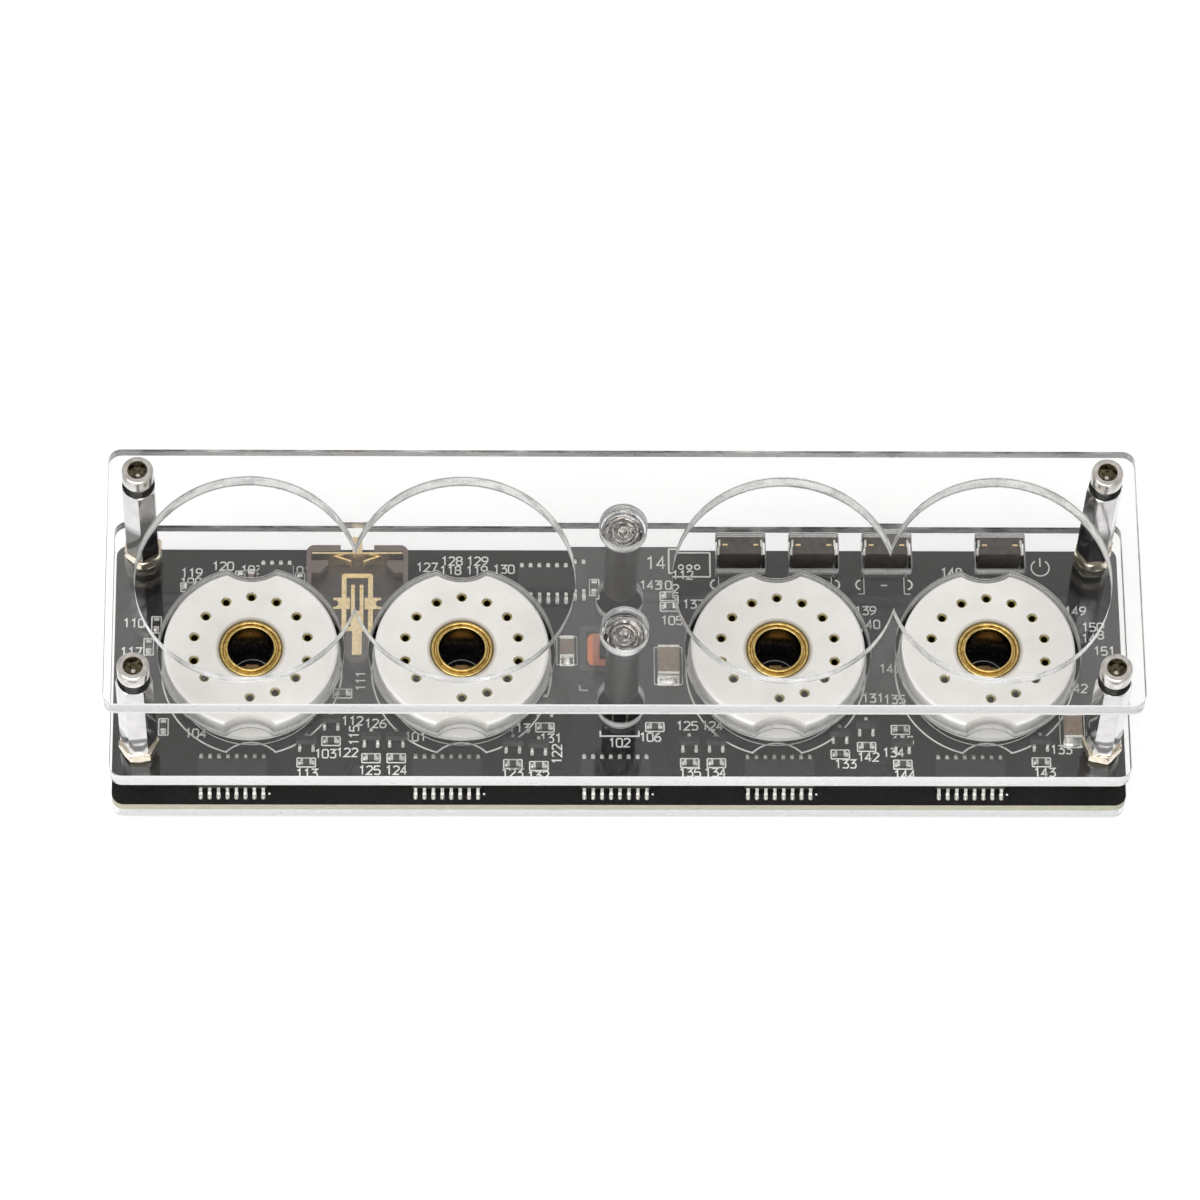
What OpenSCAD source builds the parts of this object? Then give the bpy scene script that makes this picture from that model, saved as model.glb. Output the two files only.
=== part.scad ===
// Four-digit nixie tube clock without its tubes: three clear plates round a circuit board.
// Origin: centre of the bottom face. +X right, +Y to the rear (button side), +Z up. Millimetres.

/* [Clear plates] */
// Distance from the outer tubes to the side edges of the plates and the board
end_margin = 19.7; // [17.7:0.1:24]
// Depth of the clear plates
plate_d = 39.8; // [36:0.1:46]
// Thickness of each clear plate
plate_t = 3; // [2.7:0.1:4]
// Corner radius of the plates and the board
corner_r = 1.8; // [0.5:0.1:4]

/* [Circuit board] */
// How far the board stands out beyond the plates at front and rear
board_proud = 0.2; // [0:0.1:0.5]
// Thickness of the circuit board
board_t = 1.6; // [1:0.1:2.4]

/* [Corner stacks] */
// Distance of the stack axes from the plates' side edges
stack_inset_x = 4.2; // [3.6:0.1:6]
// Distance of the stack axes from the plates' front and rear edges
stack_inset_y = 4.6; // [3.6:0.1:6]
// Thread diameter of all screws
thread_d = 2.5; // [2:0.1:3]
// Length of the spacers between board and middle plate
spacer_h = 6; // [5.5:0.1:9]
// Width across flats of the spacers
spacer_af = 4.8; // [4.2:0.1:6]
// Height of the nuts on the middle plate
nut_h = 2; // [1.6:0.1:2.4]
// Width across flats of the nuts
nut_af = 5; // [4.4:0.1:6]
// Length of the tall standoffs
standoff_h = 18; // [12:0.5:26]
// Width across flats of the tall standoffs
standoff_af = 4.5; // [4:0.1:6]
// Diameter of the cap screws' heads
cap_head_d = 4.5; // [4:0.1:6]
// Height of the cap screws' heads
cap_head_h = 2.5; // [1.6:0.1:3]
// Width across flats of the cap screws' key sockets
key_af = 2; // [1.5:0.1:2.5]
// Length of the cap screws below the head
cap_screw_l = 8; // [6:0.5:10]
// Diameter of the countersunk heads in the bottom plate
sink_head_d = 4.7; // [4:0.1:6]
// Height of the countersunk heads
sink_head_h = 1.3; // [1:0.1:1.6]
// Length of the countersunk screws, head included
sink_screw_l = 20; // [18.5:0.5:22]

/* [Tube places] */
// Distance between the two tubes of a pair
tube_pitch = 30; // [28.5:0.1:31]
// Distance between the inner tubes of the two pairs
pair_gap = 45; // [42:0.1:48]
// Diameter of the tube holes in the top plate
tube_hole_d = 31.5; // [29:0.1:33]

/* [Sockets] */
// Diameter of the sockets' face, the upper of their two discs
face_d = 24.8; // [23.5:0.1:25.4]
// Gap between a socket's face and the middle plate, round the lugs too
socket_gap = 0.9; // [0.4:0.05:1.1]
// Diameter of the sockets' lower disc, under the middle plate
disc_d = 25.5; // [24:0.1:27]
// How far the sockets stand proud of the middle plate
socket_proud = 0.4; // [0:0.1:1.5]
// Diameter of the sockets' narrow foot
foot_d = 20.5; // [19.5:0.1:22]
// Gap under the foot, above the board
foot_gap = 2; // [1.6:0.1:2.8]
// How far the middle plate's lugs reach into the sockets' notches at front and rear
lug_reach = 1.8; // [1:0.1:2.1]
// Radius of the lugs' rounded ends
lug_r = 5.2; // [4:0.1:7]
// Number of places on the pin circle, one of them left empty
pin_places = 14; // [14:1:16]
// Diameter of the pin circle
pin_circle_d = 16.5; // [15.5:0.1:17]
// Diameter of the pin holes
pin_hole_d = 1.5; // [1.3:0.05:1.8]
// Bore of the brass sleeve
sleeve_bore_d = 6.5; // [5:0.1:7]
// Wall of the brass sleeve
sleeve_wall = 0.4; // [0.3:0.05:0.6]
// Width of the sleeve's rolled flange
flange_w = 0.8; // [0.5:0.05:0.9]
// Diameter of the contacts' solder tails
tail_d = 0.8; // [0.5:0.05:0.9]

/* [Colon lamps] */
// Distance of the lamps from the middle, to front and rear
lamp_y = 8.1; // [7.5:0.1:10]
// Radial gap between a glass head and its hole in the plates
lamp_gap = 0.2; // [0.1:0.05:0.6]
// Largest diameter of the glass head
lamp_head_d = 6.4; // [5.5:0.1:7.2]
// Diameter of the glass body
lamp_body_d = 4.3; // [3.8:0.1:4.6]
// Thickness of the glass
glass_t = 0.4; // [0.3:0.05:0.6]
// Thickness of the black sleeve
lamp_sleeve_t = 0.2; // [0.15:0.05:0.3]
// Height of the black sleeve's lower end above the middle plate
lamp_lift = 2.9; // [1:0.1:5]

/* [Buttons] */
// Place of the first button along X
button_x = 17.5; // [16.5:0.1:18.5]
// Distance between the first three buttons
button_pitch = 10.5; // [9.5:0.1:10.8]
// Place of the separate fourth button along X
button_4_x = 54.8; // [53:0.1:58]
// Width of a switch body
switch_w = 6; // [5.5:0.1:6.6]
// Depth of a switch body, cover plate included
switch_d = 3; // [2.8:0.1:3.4]
// How far the switches end below the middle plate's top, inside its windows
switch_drop = 0.6; // [0.2:0.1:1.4]
// Diameter of a plunger
plunger_d = 3.5; // [2.8:0.1:3.6]
// How far a plunger stands out behind its cover plate
plunger_out = 2.05; // [1.6:0.05:2.8]
// Travel of a plunger
plunger_travel = 0.25; // [0.15:0.05:0.3]

/* [Coin cell holder] */
// Diameter of the coin cell's seat
cell_seat_d = 13; // [12:0.1:14]
// Wall of the holder at the sides of the seat
holder_wall = 0.8; // [0.5:0.1:1.2]
// Length of the holder's body, front to rear
holder_l = 10.8; // [10:0.1:12]
// Distance from the holder's rear face to the board's rear edge
holder_inset = 1.3; // [0.8:0.1:1.8]
// Height of the holder
holder_h = 4; // [3.6:0.1:4.6]

/* [Power input] */
// Width of the receptacle under the board
power_w = 7.5; // [7:0.1:8]
// Depth of the receptacle
power_d = 5.6; // [5:0.1:6.5]
// Height of the receptacle
power_h = 2.6; // [2.4:0.05:2.8]

/* [Hidden] */
$fn = 48;

// Radial clearance of a screw in its hole, and of a pin, lead or tail in its hole
screw_clear = 0.1;
pin_clear = 0.05;
// Radial clearance of a plunger in its guide
slide_clear = 0.05;
// Gap of the relief holes in the bottom plate to the tails, leads, legs and receptacle in them
relief_gap = 0.45;
// Length of a cut through a surface, beyond it
cut = 1;

// Heights of the stack, from the bottom face up
z_board = plate_t;
z_board_top = z_board + board_t;
z_mid = z_board_top + spacer_h;
z_mid_top = z_mid + plate_t;
z_standoff = z_mid_top + nut_h;
z_top = z_standoff + standoff_h;
z_top_top = z_top + plate_t;

tube_x = [-pair_gap / 2 - tube_pitch, -pair_gap / 2, pair_gap / 2, pair_gap / 2 + tube_pitch];
// Pin places in use: every one but the one left of the front pin
empty_place = 1;
pins = [for (k = [0:pin_places - 1]) if (k != empty_place) k];

plate_w = pair_gap + 2 * tube_pitch + 2 * end_margin;
board_w = plate_w;
board_d = plate_d + 2 * board_proud;
stack_x = plate_w / 2 - stack_inset_x;
stack_y = plate_d / 2 - stack_inset_y;
screw_hole_d = thread_d + 2 * screw_clear;

// Socket heights and sizes
z_socket = z_mid_top + socket_proud;
z_foot = z_board_top + foot_gap;
socket_hole_d = face_d + 2 * socket_gap;
rim_chamfer = 0.3;
// The centres of the lugs' rounded ends, and where their arcs meet the hole's edge
lug_y = socket_hole_d / 2 - lug_reach + lug_r;
lug_root_y = (pow(socket_hole_d / 2, 2) - pow(lug_r, 2) + pow(lug_y, 2)) / (2 * lug_y);
// The lower disc lies under the lugs and over the coin cell holder's corners
ledge_drop = 0.4;
z_ledge = z_mid - ledge_drop;
strip_proud = 0.2;
disc_clear = 0.1;
z_disc = z_board_top + holder_h + strip_proud + disc_clear;
sleeve_d = sleeve_bore_d + 2 * sleeve_wall;
flange_d = sleeve_d + 2 * flange_w;
flange_t = 0.35;
flange_sink = 0.1;
z_flange = z_socket - flange_t - flange_sink;
contact_drop = 0.4;
contact_bore_d = 1;
contact_collar_d = 2.2;
contact_collar_t = 0.4;
tail_out = 1.1;

// Lamp heights
sleeve_drop = 0.6;
wide_drop = 1.7;
z_lamp_sleeve = z_mid_top + lamp_lift;
z_lamp_sleeve_top = z_top - sleeve_drop;
z_lamp_wide = z_top_top - wide_drop;
lamp_hole_d = lamp_head_d + 2 * lamp_gap;
lamp_dome_h = 2.2;
lamp_base = 1.5;
lamp_base_t = 1.5;
lead_d = 0.5;
lead_gap = 2;

// Switch places
switch_x = [button_x, button_x + button_pitch, button_x + 2 * button_pitch, button_4_x];
switch_inset = 1.25;
switch_rear_y = board_d / 2 - switch_inset;
switch_front_y = switch_rear_y - switch_d;
switch_h = z_mid_top - switch_drop - z_board_top;
// The plungers pass close under the middle plate's rear edge
plunger_clear = 0.15;
plunger_z = z_mid - plunger_clear - plunger_d / 2;
cover_t = 0.3;
collar_t = 0.5;
collar_w = 0.45;
collar_d = plunger_d + 2 * collar_w;
guide_l = 0.8;
leg_t = 0.3;
leg_w = 1.2;
leg_setback = 2.3;
leg_y = switch_rear_y - leg_setback;
window_side_gap = 0.6;
window_rear_gap = 0.15;
window_corner_r = 0.4;
// The windows' front edges keep this much plate behind the socket holes' lugs
window_web = 0.35;
window_front_y = lug_root_y + window_web;
window_rear_y = switch_rear_y + window_rear_gap;

// Coin cell holder, midway between the left tubes
holder_x = (tube_x[0] + tube_x[1]) / 2;
holder_w = cell_seat_d + 2 * holder_wall;
holder_rear_y = board_d / 2 - holder_inset;
holder_base_t = 1;
tongue_w = 3.4;
tongue_l = 18;
contact_t = 0.25;
strip_w = holder_w - 1.4;
strip_inset = 1.5;
strip_y = holder_rear_y - strip_inset;
cell_y = strip_y - cell_seat_d / 2;

// Chips and small parts, seated on the board
so_body_w = 3.9;
so_body_h = 1.5;
so_lift = 0.1;
so_pitch = 1.27;
so_end_short = 0.26;
so_span = 6;
so_lead_w = 0.45;
so_lead_t = 0.22;
// The board's front edge, and each driver's place from its tube; the third drives the lamps
front_y = -board_d / 2;
driver_inset = 4.15;
driver_x = [tube_x[0] - 2.6, tube_x[1] - 2.1, -0.6, tube_x[2] + 0.2, tube_x[3] - 2.6];
driver_y = front_y + driver_inset;
controller_at = [-9.35, board_d / 2 - 5.4];
clock_at = [tube_x[0] + 3.3, board_d / 2 - 5.1];
inductor_at = [-2, 1.9];
inductor_w = 7.3;
inductor_h = 3.6;
core_floor_t = 0.6;
post_w = 1.4;
post_l = 2.8;
// [tube, x from its axis, y from the board's front edge] of each chip resistor of the front rows;
// those of the first list have a transistor behind them
paired_places = [[0, 7.9, 6.1], [0, 11.4, 9.5], [1, -12.9, 6.8], [1, -9.3, 6.8], [1, 7.3, 5.9],
                 [1, 11, 5.6], [1, 11.9, 11.7], [2, -12.5, 6.1], [2, -8.7, 6.1], [2, 9, 7.5],
                 [2, 12.8, 8.7], [3, -12.1, 5.9], [3, 7.7, 6.3]];
front_places = [[2, -17.4, 11.8], [3, -12.3, 11.4]];
// [tube, x from its axis, y from the tubes' row] of the other chip resistors, and of those that
// lie with their ends at front and rear
side_places = [[0, -9.1, 14], [0, 13, -3.6], [2, -15.1, 12.1], [2, -15.1, 10.4]];
turned_places = [[0, -13.8, 7.9], [0, -14.8, 3.8], [0, -12.5, -8.4], [0, -1.9, 15.3],
                 [0, 6.7, 15], [1, 19.1, 13.5]];
paired_at = [for (p = paired_places) [tube_x[p[0]] + p[1], front_y + p[2]]];
lone_at = concat([for (p = front_places) [tube_x[p[0]] + p[1], front_y + p[2]]],
                 [for (p = side_places) [tube_x[p[0]] + p[1], p[2]]]);
turned_at = [for (p = turned_places) [tube_x[p[0]] + p[1], p[2]]];
resistor_size = [1.6, 0.8, 0.45];
// [x, y, width, length, height] of each ceramic capacitor, its ends at front and rear
capacitors_at = [[-7.4, 3.3, 2, 3.2, 1.4], [7.1, 0.9, 3.1, 4.6, 2.2],
                 [tube_x[0] - 0.3, 15.3, 0.8, 1.6, 0.8],
                 [tube_x[3] + 12.3, front_y + 11.3, 2.6, 3.8, 1.8]];
end_l = 0.35;
transistor_dy = 3.2;
transistor_size = [2.9, 1.3, 1];
transistor_lift = 0.05;
transistor_pitch = 0.95;
transistor_span = 2.4;
led_size = [3.5, 2.8, 1.4];

// Power input
shell_t = 0.3;
shell_back_t = 0.6;

// ---- Shapes that repeat ----

// Rectangle with rounded corners, centred
module rounded_rect(w, d, r) {
    square([w - 2 * r, d], center = true);
    square([w, d - 2 * r], center = true);
    for (x = [-1, 1], y = [-1, 1])
        translate([x * (w / 2 - r), y * (d / 2 - r)]) circle(r);
}

module at_stacks() {
    for (x = [-stack_x, stack_x], y = [-stack_y, stack_y]) translate([x, y]) children();
}

module at_tubes() {
    for (x = tube_x) translate([x, 0]) children();
}

module at_pins() {
    for (k = pins) rotate(-90 - k * 360 / pin_places) translate([pin_circle_d / 2, 0]) children();
}

// Places of the arcs of a socket's two lugs, from the tube's axis
module at_lugs() {
    for (side = [-1, 1]) translate([0, side * lug_y]) children();
}

module at_lamps() {
    for (y = [-lamp_y, lamp_y]) translate([0, y]) children();
}

module at_leads() {
    for (x = [-lead_gap / 2, lead_gap / 2]) translate([x, 0]) children();
}

// Hexagon by its width across flats, with flats to front and rear
module hexagon(af) {
    circle(d = af / cos(30), $fn = 6);
}

// Hexagonal bar with a bore, its edges turned down at the ends that are asked for
module hex_sleeve(af, h, bore_d, turn_low = true, turn_high = true) {
    r = af / cos(30) / 2;
    turn = (r - af / 2) * 1.1;
    difference() {
        intersection() {
            linear_extrude(h) hexagon(af);
            rotate_extrude() polygon([
                [0, 0], [turn_low ? r - turn : r, 0], [r, turn_low ? turn / 2 : 0],
                [r, turn_high ? h - turn / 2 : h], [turn_high ? r - turn : r, h], [0, h]]);
        }
        translate([0, 0, -cut]) cylinder(d = bore_d, h = h + 2 * cut);
    }
}

// Bent lead of a chip, standing at the origin and pointing to +Y; its width is centred on X
module gull_lead(reach, rise, w, t) {
    foot = reach * 0.45;  // the flat part, on the board
    translate([-w / 2, 0, 0]) rotate([90, 0, 90]) linear_extrude(w) polygon([
        [-reach, rise], [-reach, rise - t], [-foot - t, rise - t], [-foot - t / 2, 0], [0, 0],
        [0, t], [-foot, t], [-foot - t / 2, rise]]);
}

// Moulded chip body: its long sides slope from a parting line at mid height
module chip_body(l, w, h) {
    slope = 0.12;
    dimple_d = 0.7;
    dimple_inset = 0.9;
    dimple_depth = 0.1;
    difference() {
        translate([-l / 2, 0, 0]) rotate([90, 0, 90]) linear_extrude(l) polygon([
            [-w / 2 + slope, 0], [w / 2 - slope, 0], [w / 2, h / 2], [w / 2 - slope, h],
            [-w / 2 + 4 * slope, h], [-w / 2, h / 2 + slope]]);
        translate([l / 2 - dimple_inset, w / 2 - dimple_inset, h - dimple_depth])
            cylinder(d = dimple_d, h = cut);
    }
}

module so_body(per_side) {
    translate([0, 0, z_board_top + so_lift])
        chip_body(per_side * so_pitch - so_end_short, so_body_w, so_body_h);
}

module so_leads(per_side) {
    for (side = [0, 180], k = [0:per_side - 1])
        rotate(side) translate([(k - (per_side - 1) / 2) * so_pitch, so_span / 2, z_board_top])
            gull_lead((so_span - so_body_w) / 2, so_lift + so_body_h / 2 + so_lead_t / 2,
                so_lead_w, so_lead_t);
}

// ---- Plates and board ----

module bottom_plate() {
    color([0.85, 0.93, 0.95, 0.5]) difference() {
        linear_extrude(plate_t) difference() {
            rounded_rect(plate_w, plate_d, corner_r);
            at_stacks() circle(d = screw_hole_d);
            at_tubes() at_pins() circle(d = tail_d + 4 * relief_gap);
            at_lamps() circle(d = lead_gap + lead_d + 2 * relief_gap);
            for (x = switch_x) translate([x, leg_y])
                square([switch_w + 2 * leg_t + 2 * relief_gap, leg_w + 2 * relief_gap],
                    center = true);
            translate([-power_w / 2 - relief_gap, board_d / 2 - power_d - relief_gap])
                square([power_w + 2 * relief_gap, power_d + cut]);
        }
        at_stacks() countersink(screw_clear);
    }
}

// Cone of a countersunk head, widened by gap
module countersink(gap) {
    rotate_extrude() polygon([
        [0, 0], [sink_head_d / 2 + gap, 0], [thread_d / 2 + gap, sink_head_h], [0, sink_head_h]]);
}

module circuit_board() {
    color([0.08, 0.08, 0.08]) translate([0, 0, z_board]) linear_extrude(board_t) difference() {
        rounded_rect(board_w, board_d, corner_r);
        at_stacks() circle(d = screw_hole_d);
        at_tubes() at_pins() circle(d = tail_d + 2 * pin_clear);
        at_lamps() at_leads() circle(d = lead_d + 2 * pin_clear);
        for (x = switch_x, side = [-1, 1])
            translate([x + side * (switch_w / 2 + leg_t / 2), leg_y])
                square([leg_t + 4 * pin_clear, leg_w + 4 * pin_clear], center = true);
    }
}

module mid_plate() {
    color([0.85, 0.93, 0.95, 0.5]) translate([0, 0, z_mid]) linear_extrude(plate_t) difference() {
        rounded_rect(plate_w, plate_d, corner_r);
        at_stacks() circle(d = screw_hole_d);
        at_tubes() difference() {
            circle(d = socket_hole_d);
            at_lugs() circle(lug_r);
        }
        at_lamps() circle(d = lamp_hole_d);
        for (x = switch_x) translate([x, (window_front_y + window_rear_y) / 2])
            rounded_rect(switch_w + 2 * window_side_gap, window_rear_y - window_front_y,
                window_corner_r);
    }
}

module top_plate() {
    color([0.85, 0.93, 0.95, 0.5]) translate([0, 0, z_top]) linear_extrude(plate_t) difference() {
        rounded_rect(plate_w, plate_d, corner_r);
        at_stacks() circle(d = screw_hole_d);
        at_tubes() circle(d = tube_hole_d);
        at_lamps() circle(d = lamp_hole_d);
    }
}

// ---- Corner stacks ----

module bottom_screws() {
    sink_key_af = 1.5;
    sink_key_depth = 0.9;
    color([0.75, 0.75, 0.77]) at_stacks() difference() {
        union() {
            countersink(0);
            cylinder(d = thread_d, h = sink_screw_l);
        }
        translate([0, 0, -cut]) linear_extrude(cut + sink_key_depth) hexagon(sink_key_af);
    }
}

module board_spacers() {
    color([0.06, 0.06, 0.06]) translate([0, 0, z_board_top])
        at_stacks() hex_sleeve(spacer_af, spacer_h, screw_hole_d);
}

module stack_nuts() {
    color([0.8, 0.78, 0.74]) translate([0, 0, z_mid_top])
        at_stacks() hex_sleeve(nut_af, nut_h, thread_d + 2 * pin_clear);
}

module standoffs() {
    color([0.78, 0.78, 0.79]) translate([0, 0, z_standoff])
        at_stacks() hex_sleeve(standoff_af, standoff_h, thread_d + 2 * pin_clear);
}

module top_screws() {
    head_edge = 0.25;
    key_depth = 1.4;
    color([0.75, 0.75, 0.77]) translate([0, 0, z_top_top]) at_stacks() difference() {
        rotate_extrude() polygon([
            [0, -cap_screw_l], [thread_d / 2, -cap_screw_l], [thread_d / 2, 0], [cap_head_d / 2, 0],
            [cap_head_d / 2, cap_head_h - head_edge], [cap_head_d / 2 - head_edge, cap_head_h],
            [0, cap_head_h]]);
        translate([0, 0, cap_head_h - key_depth]) linear_extrude(key_depth + cut) hexagon(key_af);
    }
}

// ---- Tube sockets ----

// Ceramic socket: a foot, a disc under the middle plate and a face in the plate's hole, notched
// round the plate's lugs
module socket(x) {
    color([0.93, 0.92, 0.89]) translate([x, 0, 0]) difference() {
        rotate_extrude() polygon([
            [0, z_foot], [foot_d / 2, z_foot], [foot_d / 2, z_disc],
            [disc_d / 2 - rim_chamfer, z_disc], [disc_d / 2, z_disc + rim_chamfer],
            [disc_d / 2, z_ledge], [face_d / 2, z_ledge], [face_d / 2, z_socket - rim_chamfer],
            [face_d / 2 - rim_chamfer, z_socket], [0, z_socket]]);
        translate([0, 0, z_ledge]) at_lugs() cylinder(r = lug_r + socket_gap, h = z_socket);
        at_pins() translate([0, 0, z_foot - cut]) cylinder(d = pin_hole_d, h = z_socket);
        translate([0, 0, z_foot - cut]) cylinder(d = sleeve_d + 2 * pin_clear, h = z_socket);
        translate([0, 0, z_flange]) cylinder(d = flange_d + 4 * pin_clear, h = z_socket);
    }
}

// Fork contacts: a tube in the ceramic, a collar under the foot and a tail through the board
module socket_contacts(x) {
    tube_d = pin_hole_d - 2 * pin_clear;
    bottom_t = 1;
    z_tail = z_board - tail_out;
    z_mouth = z_socket - contact_drop;
    color([0.83, 0.68, 0.35]) translate([x, 0, 0]) at_pins() rotate_extrude() polygon([
        [0, z_tail], [tail_d / 2, z_tail], [tail_d / 2, z_foot - contact_collar_t],
        [contact_collar_d / 2, z_foot - contact_collar_t], [contact_collar_d / 2, z_foot],
        [tube_d / 2, z_foot], [tube_d / 2, z_mouth], [contact_bore_d / 2, z_mouth],
        [contact_bore_d / 2, z_foot + bottom_t], [0, z_foot + bottom_t]]);
}

// Brass sleeve riveted through the socket: a two-step flange on the face, a rolled lip below
module socket_sleeve(x) {
    lip_h = 0.25;
    lip_w = 0.25;
    rivet_w = 0.55;
    color([0.85, 0.7, 0.38]) translate([x, 0, 0]) rotate_extrude() polygon([
        [sleeve_bore_d / 2, z_foot - flange_t], [sleeve_d / 2 + rivet_w, z_foot - flange_t],
        [sleeve_d / 2 + rivet_w, z_foot], [sleeve_d / 2, z_foot], [sleeve_d / 2, z_flange],
        [flange_d / 2, z_flange], [flange_d / 2, z_flange + flange_t],
        [sleeve_bore_d / 2 + 2 * lip_w, z_flange + flange_t],
        [sleeve_bore_d / 2 + lip_w, z_flange + flange_t + lip_h],
        [sleeve_bore_d / 2, z_flange + flange_t + lip_h]]);
}

module tube_leds() {
    lens_h = 0.5;
    color([0.9, 0.75, 0.4]) translate([0, 0, z_board_top]) at_tubes() {
        translate([-led_size[0] / 2, -led_size[1] / 2, 0])
            cube([led_size[0], led_size[1], led_size[2] - lens_h]);
        translate([-led_size[0] / 4, -led_size[1] / 2, 0])
            cube([led_size[0] / 2, led_size[1], led_size[2]]);
    }
}

// ---- Colon lamps ----

// Half outline of the lamp from its base over the dome, drawn in by inset
function lamp_outline(inset, steps = 8) = let(
    body_r = lamp_body_d / 2 - inset,
    head_r = lamp_head_d / 2 - inset,
    flare = z_lamp_wide - z_lamp_sleeve_top
) concat(
    [[0, z_lamp_sleeve + lamp_base + (inset > 0 ? lamp_base_t : 0)],
     [body_r, z_lamp_sleeve + lamp_base + (inset > 0 ? lamp_base_t : 0)]],
    [for (k = [0:steps]) let(a = 90 * k / steps)
        [head_r - (head_r - body_r) * cos(a), z_lamp_sleeve_top + flare * sin(a)]],
    [for (k = [1:steps]) let(a = 90 * k / steps)
        [head_r * cos(a), z_lamp_wide + (lamp_dome_h - inset) * sin(a)]]
);

module lamp_glass(y) {
    color([0.9, 0.92, 0.92, 0.4]) translate([0, y, 0]) difference() {
        rotate_extrude() polygon(lamp_outline(0));
        rotate_extrude() polygon(lamp_outline(glass_t));
        at_leads() translate([0, 0, z_lamp_sleeve])
            cylinder(d = lead_d + 2 * pin_clear, h = lamp_base + lamp_base_t + cut);
    }
}

// Two electrodes, each on its own lead down to the board: a post and a cup round it
module lamp_electrodes(y) {
    cup_gap = 0.1;
    cup_t = 0.2;
    cup_h = 2.2;
    seat_drop = 1;
    arm_lift = 0.6;
    arm_t = 0.3;
    arm_w = 0.5;
    disc_d = 1.4;
    post_d = 1.1;
    post_h = 2;
    z_tail = z_board - tail_out;
    z_seat = z_lamp_sleeve_top - seat_drop;
    z_post = z_seat + arm_lift + arm_t;
    cup_d = lamp_body_d - 2 * glass_t - 2 * cup_gap;
    color([0.7, 0.68, 0.62]) translate([0, y, 0]) {
        translate([-lead_gap / 2, 0, z_tail]) cylinder(d = lead_d, h = z_seat - z_tail + cup_t);
        difference() {
            translate([0, 0, z_seat]) cylinder(d = cup_d, h = cup_h);
            translate([0, 0, z_seat + cup_t]) cylinder(d = cup_d - 2 * cup_t, h = cup_h);
            translate([lead_gap / 2, 0, z_seat - cut]) cylinder(d = 2 * lead_d, h = 2 * cut);
        }
        translate([lead_gap / 2, 0, z_tail])
            cylinder(d = lead_d, h = z_seat + arm_lift + arm_t - z_tail);
        translate([0, 0, z_seat + arm_lift]) linear_extrude(arm_t) {
            circle(d = disc_d);
            translate([0, -arm_w / 2]) square([lead_gap / 2, arm_w]);
        }
        translate([0, 0, z_post]) cylinder(d = post_d, h = post_h);
        translate([0, 0, z_post + post_h]) sphere(d = post_d);
    }
}

module lamp_sleeve(y) {
    bore_d = lamp_body_d + 2 * pin_clear;
    color([0.05, 0.05, 0.05]) translate([0, y, z_lamp_sleeve]) difference() {
        cylinder(d = bore_d + 2 * lamp_sleeve_t, h = z_lamp_sleeve_top - z_lamp_sleeve);
        translate([0, 0, -cut]) cylinder(d = bore_d, h = standoff_h + 2 * cut);
    }
}

// ---- Coin cell holder ----

module battery_holder() {
    rear_wall = 1;
    lobe_gap = 2.4;
    edge_r = 1.1;
    corner_cut = 1.2;
    cut_lift = 0.5;
    shoulder_drop = 0.3;
    shoulder_w = 3;
    shoulder_l = 2;
    shoulder_inset = 1.8;
    color([0.36, 0.3, 0.27]) translate([holder_x, 0, z_board_top]) {
        linear_extrude(holder_base_t) difference() {
            union() {
                translate([0, holder_rear_y - holder_l / 2]) rounded_rect(holder_w, holder_l, edge_r);
                translate([0, holder_rear_y - tongue_l + tongue_w / 2]) circle(d = tongue_w);
                translate([-tongue_w / 2, holder_rear_y - tongue_l + tongue_w / 2])
                    square([tongue_w, tongue_l - holder_l]);
            }
            translate([0, holder_rear_y]) square([2 * lobe_gap, 2 * rear_wall], center = true);
        }
        difference() {
            linear_extrude(holder_h) difference() {
                translate([0, holder_rear_y - holder_l / 2]) rounded_rect(holder_w, holder_l, edge_r);
                translate([0, cell_y]) circle(d = cell_seat_d);
                translate([-strip_w / 2, cell_y])
                    square([strip_w, holder_rear_y - rear_wall - cell_y]);
                translate([0, holder_rear_y]) square([2 * lobe_gap, 3 * rear_wall], center = true);
                translate([-cell_seat_d / 2, 0]) square([cell_seat_d, cell_y]);
            }
            for (side = [-1, 1])
                translate([side * holder_w / 2, cell_y, holder_base_t + cut_lift]) rotate(45)
                    linear_extrude(holder_h) square(corner_cut, center = true);
        }
        // Shoulders at the sides that keep the round cell centred, in front of the strip
        linear_extrude(holder_h - shoulder_drop) difference() {
            for (side = [-1, 1])
                translate([side * (cell_seat_d / 2 - holder_wall), strip_y - shoulder_inset])
                    square([shoulder_w, shoulder_l], center = true);
            translate([0, cell_y]) circle(d = cell_seat_d);
        }
    }
}

// Spring strip across the rear of the cell's seat, with two leaves and a tail over the board
module battery_contact_upper() {
    tail_w = 1.4;
    tail_gap = 0.4;
    strip_side_gap = 0.1;
    leaf_root_x = 3.4;
    leaf_tip_x = 0.9;
    leaf_y = 0.9;
    leaf_z = 1;
    leaf_h = 1.4;
    h = holder_h - holder_base_t + strip_proud;
    color([0.85, 0.72, 0.4]) translate([holder_x, 0, z_board_top + holder_base_t]) {
        translate([-strip_w / 2 + strip_side_gap, strip_y, 0])
            cube([strip_w - 2 * strip_side_gap, contact_t, h]);
        translate([-tail_w / 2, strip_y, h - contact_t])
            cube([tail_w, strip_inset + tail_gap, contact_t]);
        translate([-tail_w / 2, holder_rear_y + tail_gap, -holder_base_t])
            cube([tail_w, contact_t, h + holder_base_t]);
        for (side = [0, 1]) mirror([side, 0, 0]) translate([0, strip_y, leaf_z])
            linear_extrude(leaf_h) polygon([
                [leaf_root_x, 0], [leaf_tip_x, -leaf_y], [leaf_tip_x, contact_t - leaf_y],
                [leaf_root_x, contact_t]]);
    }
}

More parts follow.
